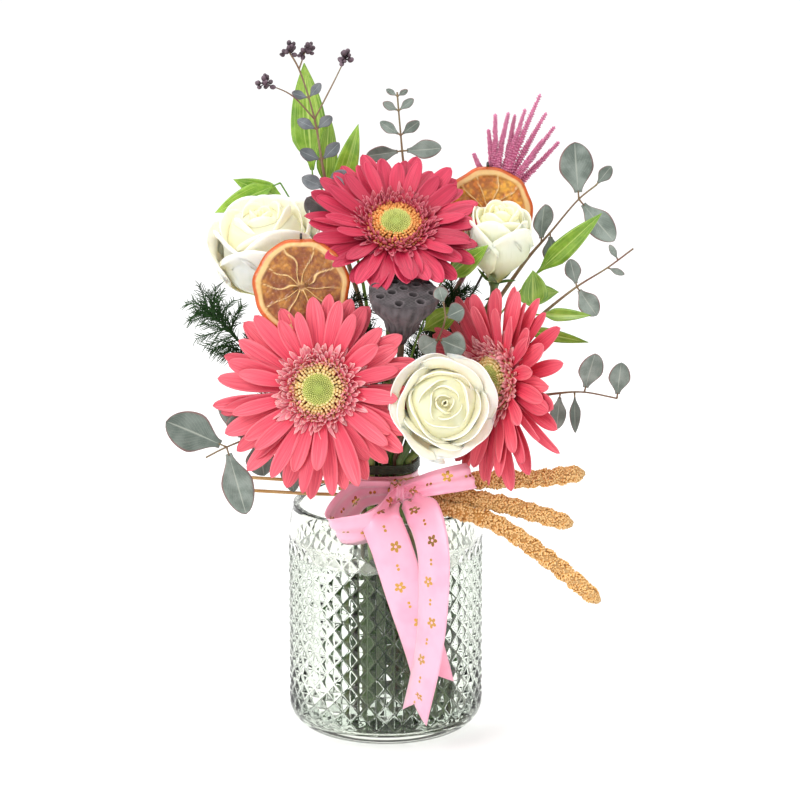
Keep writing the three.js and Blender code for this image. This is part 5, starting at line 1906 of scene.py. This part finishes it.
@dataclass
class Ribbon:
    """A satin ribbon round the bundle: a wrap, a knot, two loops and two tails with notched ends."""

    width: float = 24 * MM
    wrap_width: float = 15 * MM
    thickness: float = 0.3 * MM
    knot: Point = (8, -32, 154)
    tail_left: tuple[Point, ...] = (
        (3, -42, 150), (-2, -57, 145), (4, -63.5, 128), (13, -64, 98), (23, -64, 66), (29, -63.5, 43)
    )
    tail_right: tuple[Point, ...] = (
        (14, -43, 152), (22, -59, 147), (27, -71, 130), (27, -75, 96), (24, -76, 66), (16, -75, 27)
    )
    loop_left: Point = (-30, -58, 138)
    loop_right: Point = (51, -47, 168)
    notch: float = 9 * MM
    finish: SatinFinish = SatinFinish("satin ribbon", roughness=0.34, sheen=0.5, specular=0.6)

    def build(self) -> None:
        """Builds every run of the ribbon."""
        self.wrap()
        self.tail("left", self.tail_left, 0.0)
        self.tail("right", self.tail_right, -0.79)
        self.loop("left", self.loop_left, 14 * MM, 25 * MM, 0.55)
        self.loop("right", self.loop_right, 9 * MM, 16 * MM, 0.3)
        self.knot_band()

    def strip(
        self, name: str, run: Run, width: float, hold: Hold, rests_on: str, *nodes: str, closed: bool = False
    ) -> None:
        points, down, side = run.grid()
        shell = Shell()
        if closed:
            points, down, side = (np.concatenate([v, v[:1]]) for v in (points, down, side))
        shell.grid(points, along=down, across=side)
        piece = shell.build(name, self.finish, thickness=self.thickness)
        show(piece, "ribbon", *nodes)
        length = line_length(run.line)

    def wrap(self) -> None:
        """The ribbon's turn round the bundle, drawn in a little at its middle."""
        low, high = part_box("ribbon_wrap")
        flat = even_round(outline_round("ribbon_wrap"), 96) * SNUG
        count = len(flat)
        line = np.column_stack([flat, np.full(count, (low.z + high.z) / 2)])
        width = (high.z - low.z) * (0.93 + 0.04 * np.sin(3 * round_turn(count)))
        across = np.tile([0.0, 0.0, 1.0], (count, 1))
        run = Run(line, across, width, np.full(count, 0.35 * MM), pleats=3.5)
        self.strip("ribbon_wrap_shown", run, self.wrap_width, Hold.TIED, "rose_front_stem", "ribbon_wrap", closed=True)

    def tail(self, hand: str, points: tuple[Point, ...], turn: float) -> None:
        """A tail that falls in front of the vase, pleated where it leaves the knot."""
        line = through(metres([*points]), 14)
        t = np.linspace(0, 1, len(line))
        tilt = turn + 0.12 * np.sin(t * 5.0) * smooth(0.05, 0.3, t)
        across = np.column_stack([np.cos(tilt), np.sin(tilt), 0.06 * np.sin(t * 6.0)])
        width = self.width * (0.55 + 0.45 * smooth(0.0, 0.22, t))
        pleat = 1.2 * MM * (1 - smooth(0.0, 0.35, t)) + 0.15 * MM
        run = Run(line, across, width, pleat, pleats=1.5, notch=self.notch, cup=0.06 + 0.05 * smooth(0.0, 0.3, t))
        self.strip(f"ribbon_tail_{hand}_shown", run, self.width, Hold.FREE, "ribbon_knot", f"ribbon_tail_{hand}")

    def loop(self, hand: str, far: Point, belly: float, width: float, lean: float) -> None:
        """A loop of the bow: out from the knot and back behind, gathered at the knot.

        Args:
            hand: left or right.
            far: its far end, in millimetres.
            belly: how far its two runs stand from its middle line.
            width: of the ribbon at its widest.
            lean: how far it tips back, in radians.
        """
        start, end = metres(self.knot), metres(far)
        out = end - start
        deep = np.array([0.0, 1.0, 0.0])
        rise = unit(np.cross(unit(out), deep))
        bulge = deep * math.cos(lean) - rise * math.sin(lean)
        front = start + out * 0.5 - bulge * belly
        back = start + out * 0.55 + bulge * belly
        near = 1.4 * MM
        line = through(np.array([start - deep * near, front, end, back, start + deep * near]), 16)
        t = np.linspace(0, 1, len(line))
        spread = np.sin(math.pi * t) ** 0.6
        across = np.tile(
            rise * math.cos(lean) + deep * math.sin(lean), (len(line), 1)
        ) + 0.25 * np.sin(t * 7)[:, None] * unit(out)
        pleat = 1.3 * MM * (1 - spread) + 0.5 * MM
        run = Run(line, across, width * (0.45 + 0.55 * spread), pleat, pleats=2.5)
        self.strip(f"ribbon_loop_{hand}_shown", run, width, Hold.TIED, "ribbon_knot", f"ribbon_loop_{hand}")

    def knot_band(self) -> None:
        """The pleated band that is drawn tight over the middle of the bow."""
        low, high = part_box("ribbon_knot")
        middle = (np.array(low) + np.array(high)) / 2
        size = (np.array(high) - np.array(low)) / 2
        angle = round_turn(64)
        line = middle + np.column_stack(
            [0.4 * MM * np.sin(angle), size[1] * 0.93 * np.cos(angle), size[2] * 0.93 * np.sin(angle)]
        )
        across = np.column_stack([np.ones(64), 0.12 * np.sin(angle), 0.1 * np.cos(angle)])
        width = size[0] * 1.5 * (1 + 0.08 * np.sin(2 * angle))
        run = Run(line, across, width, np.full(64, 0.75 * MM), pleats=3.0, columns=25)
        self.strip(
            "ribbon_knot_shown", run, self.wrap_width, Hold.TIED, "ribbon_wrap_shown", "ribbon_knot", closed=True
        )


# ---------------------------------------------------------------- vase and water
@dataclass
class Vase:
    """A cut-glass vase: rows of raised diamonds between a plain foot and a plain shoulder."""

    diamonds: int = 34
    per_diamond: int = 12
    row_height: float = 11.2 * MM
    relief: float = 1.7 * MM
    cut_from: float = 12 * MM
    cut_to: float = 121 * MM
    foot_ring: float = 0.9 * MM
    bead: float = 1.6 * MM  # the height of the rounded rim
    finish: GlassFinish = GlassFinish("clear glass", roughness=0.0, index=1.47, tint="#fdfff8")
    wet_finish: GlassFinish = GlassFinish("wet glass", roughness=0.0, index=1.105, tint="#fafefc")

    def __post_init__(self) -> None:
        """Takes the vase's sizes from the model."""
        points = node_points("vase")
        radius, z = np.hypot(points[:, 0], points[:, 1]), points[:, 2]
        self.height = float(z.max())
        self.radius = float(radius.max())
        rim = radius[z > self.height - 0.1 * MM]
        self.mouth, self.mouth_inside = float(rim.max()), float(rim.min())
        self.floor = float(z[(radius < 1e-5) & (z > 1e-5)].max())
        self.shoulder = float(z[(radius > self.radius - 0.1 * MM)].max())
        self.flat = float(radius[z < 0.1 * MM].max())
        self.wall = self.mouth - self.mouth_inside

    def outside(self, z: Array) -> Array:
        """The outer radius at a height, without the relief."""
        corner = self.radius - self.flat
        low = self.flat + corner * np.sqrt(np.clip(1 - (1 - np.clip(z / corner, 0, 1)) ** 2, 0, 1))
        high = smooth(self.shoulder, self.height + 6 * MM, z)
        return low - (self.radius - self.mouth) * high * 1.35

    def build(self) -> None:
        """Builds the glass: the cut outside, the rounded rim, the smooth inside and the base."""
        count = self.diamonds * self.per_diamond
        angle = round_turn(count)
        neck = self.height - self.bead
        foot = np.linspace(0, 1, 9)[1:] ** 2 * self.cut_from
        body = np.linspace(self.cut_from, self.shoulder, 150)[1:]
        top = np.linspace(self.shoulder, neck, 10)[1:]
        z = np.concatenate([foot, body, top])[:, None]
        radius = self.outside(z) - self.cut(z, angle)
        rows = [revolve(radius, angle, z)]
        rim = np.linspace(0, math.pi, 9)[1:-1]
        centre = (self.mouth + self.mouth_inside) / 2
        rim_rows = [(centre + self.wall / 2 * math.cos(a), neck + self.bead * math.sin(a)) for a in rim]
        levels = np.linspace(neck, self.floor + self.cut_from, 30)
        inside = [(float(self.outside(np.array(h)) - self.wall), h) for h in levels]
        corner = self.radius - self.flat - self.wall
        bowl = [
            (self.radius - self.wall - corner * (1 - math.cos(a)), self.floor + corner * (1 - math.sin(a)))
            for a in np.linspace(0, math.pi / 2, 8)
        ]
        rest = [*rim_rows, *inside, *bowl, (self.flat * 0.5, self.floor), (0.01 * MM, self.floor)]
        rows.append(self.turn(rest, angle))
        under = [
            (0.01 * MM, self.foot_ring), (self.flat * 0.8, self.foot_ring), (self.flat * 0.9, 0.1 * MM),
            (self.flat * 0.97, 0.0)
        ]
        rows.insert(0, self.turn(under, angle))
        shell = Shell()
        shell.grid(np.concatenate(rows), closed=True)
        paint(show(shell.build("vase_shown", self.finish), "glass", "vase"), self.wet_finish, self.wet)

    def wet(self, places: Array) -> Array:
        """Whether each place is on the inside of the wall, below the water's level."""
        _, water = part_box("water")
        x, y, z = places.T
        low = (z < water.z) & (z > self.floor - 0.5 * MM)
        return low & (np.hypot(x, y) < self.radius - 0.8 * self.wall)

    def turn(self, profile: list[tuple[float, float]], angle: Array) -> Array:
        """Rows of points about the axis from radius and height pairs."""
        pairs = np.array(profile)
        return revolve(pairs[:, :1], angle, pairs[:, 1:])

    def cut(self, z: Array, angle: Array) -> Array:
        """How far the surface lies inside its full radius: grooves that cross, with pillows between."""
        u = angle[None] / TURN * self.diamonds
        v = z / self.row_height
        along, over = np.abs(2 * ((u + v) % 1.0) - 1), np.abs(2 * ((u - v) % 1.0) - 1)
        point = 1 - np.maximum(along, over)
        soft = np.sqrt(point**2 + 0.004) / 1.002
        here = smooth(self.cut_from, self.cut_from + 6 * MM, z) * smooth(self.cut_to, self.cut_to - 4 * MM, z)
        return self.relief * (1 - soft**0.75) * here


@dataclass
class Water:
    """The water in the vase, meeting the glass, with a rim that climbs the wall."""

    lap: float = 0.15 * MM
    finish: GlassFinish = GlassFinish("water", roughness=0.0, index=1.33, tint="#fdfffb")
    side_finish: GlassFinish = GlassFinish("water against glass", roughness=0.0, index=1.0, tint="#fdfffb")

    def build(self, vase: Vase) -> None:
        """Builds the water.

        Args:
            vase: the vase that it stands in.
        """
        _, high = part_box("water")
        level = high.z
        wall = vase.radius - vase.wall + self.lap
        corner = vase.radius - vase.flat - vase.wall
        profile = [(0.01 * MM, vase.floor - self.lap), (vase.flat * 0.6, vase.floor - self.lap)]
        for a in np.linspace(math.pi / 2, 0, 8):
            profile.append((wall - corner * (1 - math.cos(a)), vase.floor - self.lap + corner * (1 - math.sin(a))))
        profile += [(wall, level * 0.6), (wall, level)]
        for depth, drop in ((0.6, 0.5), (1.4, 1.0), (2.6, 1.35), (5.0, 1.5)):
            profile.append((wall - depth * MM, level - drop * MM))
        profile.append((0.01 * MM, level - 1.5 * MM))
        shell = Shell()
        shell.grid(vase.turn(profile, round_turn(160)), closed=True)
        piece = show(shell.build("water_shown", self.side_finish), "water", "water")
        paint(piece, self.finish, lambda places: places[:, 2] > level - 1.6 * MM)


# ---------------------------------------------------------------- floor, lights and camera
@dataclass
class Studio:
    """A plain pale floor, soft light from all round and from the upper left, and the camera."""

    target: tuple[float, float, float] = (0.0087, 0.0, 0.202)
    distance: float = 2.0
    elevation: float = math.radians(14)
    lens: float = 150.0
    floor_finish: FloorFinish = FloorFinish("floor", roughness=0.9)

    def build(self) -> None:
        """Builds the floor, the lights and the camera."""
        self.floor()
        self.world()
        self.light("key", (-1.1, -1.5, 1.5), 1.0, 22.0)
        self.light("top", (0.1, 0.3, 1.9), 1.4, 12.0)
        self.camera()

    def floor(self) -> None:
        """A wide flat disc, which isn't part of the bouquet."""
        shell = Shell()
        out = np.array([0.001, 0.3, 1.0, 5.0, 30.0])[:, None]
        shell.grid(revolve(out, round_turn(96), -0.2 * MM), closed=True)
        shell.build("floor", self.floor_finish)

    def world(self) -> None:
        """A white surrounding with darker flags low at both sides, which draw the edges of the glass."""
        world = bpy.data.worlds.new("studio")
        world.use_nodes = True
        w = Wiring(world.node_tree)
        background = world.node_tree.nodes["Background"]
        background.inputs["Color"].default_value = (1.0, 1.0, 1.0, 1.0)
        split = w.node("ShaderNodeSeparateXYZ")
        w.feed(split.inputs[0], w.node("ShaderNodeTexCoord").outputs["Generated"])
        side = w.step(w.math("ABSOLUTE", split.outputs[0]), 0.55, 0.9)
        low = w.step(split.outputs[2], 0.75, 0.2)
        flag = w.times(w.times(side, low), 0.9)
        path = w.node("ShaderNodeLightPath")
        clear = w.math("MAXIMUM", path.outputs["Is Transmission Ray"], path.outputs["Is Glossy Ray"])
        w.feed(background.inputs["Strength"], w.math("MULTIPLY_ADD", w.times(flag, clear), -1.0, 1.0))
        bpy.context.scene.world = world
        bpy.context.scene.view_settings.view_transform = "Standard"

    def light(self, name: str, place: tuple[float, float, float], size: float, power: float) -> None:
        """A square soft light that faces the bouquet."""
        lamp = bpy.data.lights.new(name, "AREA")
        lamp.size = size
        lamp.energy = power
        thing = bpy.data.objects.new(name, lamp)
        bpy.context.scene.collection.objects.link(thing)
        self.aim(thing, np.array(place))

    def aim(self, thing: bpy.types.Object, place: Array) -> None:
        """Stands a light or the camera at a place, looking at the bouquet."""
        back = unit(place - np.array(self.target))
        right = unit(np.cross([0.0, 0.0, 1.0], back))
        up = np.cross(back, right)
        rows = [[*row, at] for row, at in zip(np.stack([right, up, back], 1).tolist(), place.tolist())]
        thing.matrix_world = Matrix([*rows, [0.0, 0.0, 0.0, 1.0]])

    def camera(self) -> None:
        """The camera, in front and a little above."""
        lens = bpy.data.cameras.new("camera")
        lens.lens = self.lens
        lens.clip_end = 100.0
        thing = bpy.data.objects.new("camera", lens)
        bpy.context.scene.collection.objects.link(thing)
        way = np.array([0.0, -math.cos(self.elevation), math.sin(self.elevation)])
        self.aim(thing, np.array(self.target) + self.distance * way)
        bpy.context.scene.camera = thing


# ---------------------------------------------------------------- the bouquet
DEEP_RAY = PetalFinish("deep ray", root="#b3163a", middle="#c92044", tip="#d9385a", edge="#e4607a", shade="#86102f")
CORAL_RAY = PetalFinish("coral ray", root="#dc3552", middle="#e6445c", tip="#f06a78", edge="#f79aa0", shade="#b01c3e")
GOLDEN_SLICE = SliceFinish(
    "golden dried orange", roughness=0.34, subsurface=0.3, coat=0.3, pulp="#c9751c", pulp_light="#f2b53c"
)
DEEP_CURL = PetalFinish(
    "deep curl", root="#a01034", middle="#c4284a", tip="#e77a8a", edge="#ee97a2", shade="#8e1230", grooves=5.0,
    subsurface=0.2
)
FIERY_FLORET = FloretFinish("fiery floret", inner="#e8a03c", outer="#ec6244", tip="#f8c27a")


def gerberas() -> list[Gerbera]:
    """The three gerberas."""
    return [
        Gerbera("gerbera_front", (3, 12), [(-17, -16, 184), (-33, -22, 204)], 11, finish=CORAL_RAY),
        Gerbera(
            "gerbera_top", (0, 0), [(1, 2, 215), (4, 8, 265)], 12, finish=DEEP_RAY, floret_finish=FIERY_FLORET,
            pale_finish=DEEP_CURL, layers=((20, 1.03, 0.14, 11.0), (20, 1.0, 0.24, 10.6), (16, 0.88, 0.36, 9.4))
        ),
        Gerbera("gerbera_side", (3, 16), [(32, -9, 182), (64, -6, 196), (86, -13, 211)], 13, finish=CORAL_RAY),
    ]


def roses() -> list[Rose]:
    """The three roses."""
    return [
        Rose("rose_front", (3, 15), [(16, -17, 182)], 21),
        Rose("rose_left", (2, 6), [(-22, 5, 195), (-48, 20, 232)], 22, opening=0.6),
        Rose(
            "rose_right", (1, 0), [(15, 5, 195), (46, 10, 236)], 27, opening=0.3,
            petal_finish=RosePetalFinish(
                "green rose petal", roughness=0.5, subsurface=0.5, root="#c3cc7c", middle="#eef0c0", lip="#fbfbe6"
            )
        ),
    ]


def dried() -> list[OrangeSlice | LotusPod | Millet | PinkSpikes]:
    """The dried slices, the pod, the millet and the pink spikes."""
    return [
        OrangeSlice("orange_left", (2, 7), [(-20, -9, 200), (-40, -17, 232)], 31),
        OrangeSlice("orange_right", (2, 1), [(26, 20, 215), (52, 37, 258)], 34, finish=GOLDEN_SLICE),
        LotusPod("lotus_pod", (2, 9), [(3, -20, 205)], 41),
        Millet(
            "millet_upper", 156.4, [(-81, -19, 159), (-33, -22, 157)],
            [(24, -26, 158.5), (50, -29, 160), (86, -33, 162), (118, -35, 166)], 51
        ),
        Millet("millet_middle", 153, [(-28, -22, 153)], [(24, -30, 153), (66, -36, 148), (111, -40, 136)], 52),
        Millet(
            "millet_lower", 149.6, [(-81, -19, 151), (-33, -22, 149.4)],
            [(23, -34, 147), (62, -43, 139), (96, -47, 117), (127, -50, 91)], 53
        ),
        PinkSpikes(
            (2, 2),
            [(26, 30, 230), (56, 46, 285), (67, 48, 312)],
            [
                (53, 46, 344), (62, 50, 358), (66, 46, 368), (74, 46, 369), (78, 50, 367), (84, 46, 371), (93, 46, 380),
                (97, 51, 368), (95, 44, 353), (102, 48, 360), (105, 52, 350)
            ],
        ),
    ]


def leafy_stems() -> list[LeafyStem]:
    """The eucalyptus twigs and the ruscus sprays."""
    gum, rus, spot = Foliage.EUCALYPTUS, Foliage.RUSCUS, LeafSpot
    return [
        LeafyStem(
            "eucalyptus_seeded", gum, (2, 4),
            [
                (-9, 22, 230), (-24, 30, 285), (-31, 25, 310), (-37, 21, 338), (-42, 19, 369), (-51, 18, 399),
                (-57, 17, 410)
            ],
            [spot(3, (-47, 12, 324), 17), spot(3.4, (-25, 14, 334), 14)],
            [(5, [(-56, 17, 384), (-71, 14, 391)]), (5, [(-31, 21, 390), (-24, 23, 404)]), (6, [(-47, 19, 410)])],
            LeafPairs(3.6, 5.4, 4, (17, 11), 9), True, 61,
            leaf_finish=LeafFinish(
                "dusky leaf", roughness=0.6, specular=0.3, first="#62676c", second="#8f9599", vein="#a2a6a8",
                edge="#7a4a54", edge_share=0.5
            ),
        ),
        LeafyStem(
            "eucalyptus_middle", gum, (2, 3),
            [(4, 28, 230), (10, 44, 290), (12, 48, 322), (10, 48, 345), (8, 48, 368), (7, 46, 381)],
            [spot(4, (-12, 46, 342), 10), spot(4, (34, 44, 347), 12)],
            pairs=LeafPairs(4.4, 5.8, 3, (15, 8), 7), seed=62,
        ),
        LeafyStem(
            "eucalyptus_right", gum, (3, 1),
            [(34, 16, 210), (67, 24, 257), (86, 30, 283), (99, 31, 298), (116, 29, 319), (126, 26, 328)],
            [
                spot(5, (113, 33, 353), 23), spot(5, (137, 24, 294), 17), spot(4, (101, 24, 279), 12),
                spot(3.6, (94, 20, 318), 14), spot(6, (135, 24, 340), 8)
            ],
            seed=63,
        ),
        LeafyStem(
            "eucalyptus_twig", gum, (3, 0),
            [(40, 6, 195), (68, 6, 229), (95, 4, 255), (114, 2, 271), (132, 0, 283), (147, -2, 295)],
            [
                spot(4, (126, 0, 254), 13), spot(4, (110, 6, 287), 10), spot(5, (142, 0, 279), 4),
                spot(5.4, (133, 0, 297), 4)
            ],
            seed=64,
        ),
        LeafyStem(
            "eucalyptus_low_right", gum, (3, 17),
            [(44, 2, 184), (80, -2, 202), (104, -15, 210), (118, -21, 212), (137, -28, 210)],
            [
                spot(3, (102, -14, 188), 10), spot(3.6, (113, -20, 187), 7), spot(4, (124, -25, 237), 16),
                spot(5, (139, -28, 232), 13)
            ],
            seed=65,
        ),
        LeafyStem(
            "eucalyptus_low_left", gum, (3, 11),
            [(-33, -25, 174), (-59, -36, 187), (-76, -42, 190), (-93, -50, 186), (-105, -55, 181)],
            [
                spot(4, (-128, -56, 204), 24), spot(4, (-82, -56, 147), 19), spot(3.5, (-84, -42, 205), 20),
                spot(3, (-71, -48, 168), 18), spot(2.8, (-97, -42, 213), 17), spot(2, (-54, -44, 157), 13),
            ],
            seed=66,
        ),
        LeafyStem(
            "eucalyptus_front", gum, (2, 10),
            [(13, -17, 196), (20, -24, 224), (31, -41, 249), (35, -51, 264), (34, -55, 273)],
            [
                spot(3, (20, -50, 244), 15), spot(3, (47, -44, 243), 17), spot(4, (46, -54, 270), 12),
                spot(5, (31, -57, 284), 9)
            ],
            seed=67,
        ),
        LeafyStem(
            "ruscus_upper", rus, (1, 2),
            [(-8, 16, 230), (-18, 34, 285), (-31, 43, 311), (-44, 44, 330)],
            [spot(4, (-49, 42, 400), 22), spot(3.4, (-35, 44, 368), 13), spot(3, (-16, 46, 362), 14)],
            seed=71,
        ),
        LeafyStem(
            "ruscus_left", rus, (2, 5),
            [(-24, 24, 230), (-44, 48, 285), (-58, 58, 313), (-64, 56, 324)],
            [spot(4, (-104, 48, 308), 14), spot(3, (-93, 56, 325), 13), spot(2.4, (-92, 62, 282), 14)],
            seed=72,
        ),
        LeafyStem(
            "ruscus_right", rus, (2, 0),
            [(38, 12, 206), (70, 18, 252), (88, 15, 274)],
            [spot(3, (129, 3, 316), 13), spot(2.4, (104, 30, 262), 14)],
            seed=73,
        ),
        LeafyStem(
            "ruscus_middle", rus, (1, 5),
            [(9, -7, 205), (20, -8, 245), (33, -10, 276)],
            [spot(3, (61, -19, 301), 13), spot(2, (44, -14, 262), 15), spot(2.4, (2, -16, 262), 14)],
            seed=74,
        ),
        LeafyStem(
            "ruscus_side", rus, (2, 11),
            [(33, 5, 199), (62, 3, 232), (88, -7, 256)],
            [spot(3, (87, -10, 284), 18), spot(3, (122, -11, 257), 8), spot(2.6, (121, -12, 240), 8)],
            seed=75,
        ),
    ]


def ferns() -> list[Fern]:
    """The three ferns."""
    return [
        Fern("fern_left", (3, 9), [(-38, -8, 188), (-64, -18, 220), (-90, -22, 247), (-107, -22, 267)], 14, 34, 81),
        Fern("fern_middle", (1, 3), [(-15, 0, 200), (-23, -2, 235), (-22, -8, 264)], 14, 32, 82),
        Fern("fern_right", (1, 1), [(14, 10, 200), (30, 12, 238), (42, 8, 268)], 14, 32, 83),
    ]


def main() -> None:
    """Builds the studio, the vase and every piece of the bouquet, in order."""
    logging.basicConfig(level=logging.INFO, format="%(name)s: %(message)s")
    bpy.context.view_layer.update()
    Studio().build()
    vase = Vase()
    vase.build()
    Water().build(vase)
    Binding().build()
    Ribbon().build()
    for piece in [*gerberas(), *roses(), *dried(), *leafy_stems(), *ferns()]:
        piece.build()


if __name__ == "__main__":
    main()
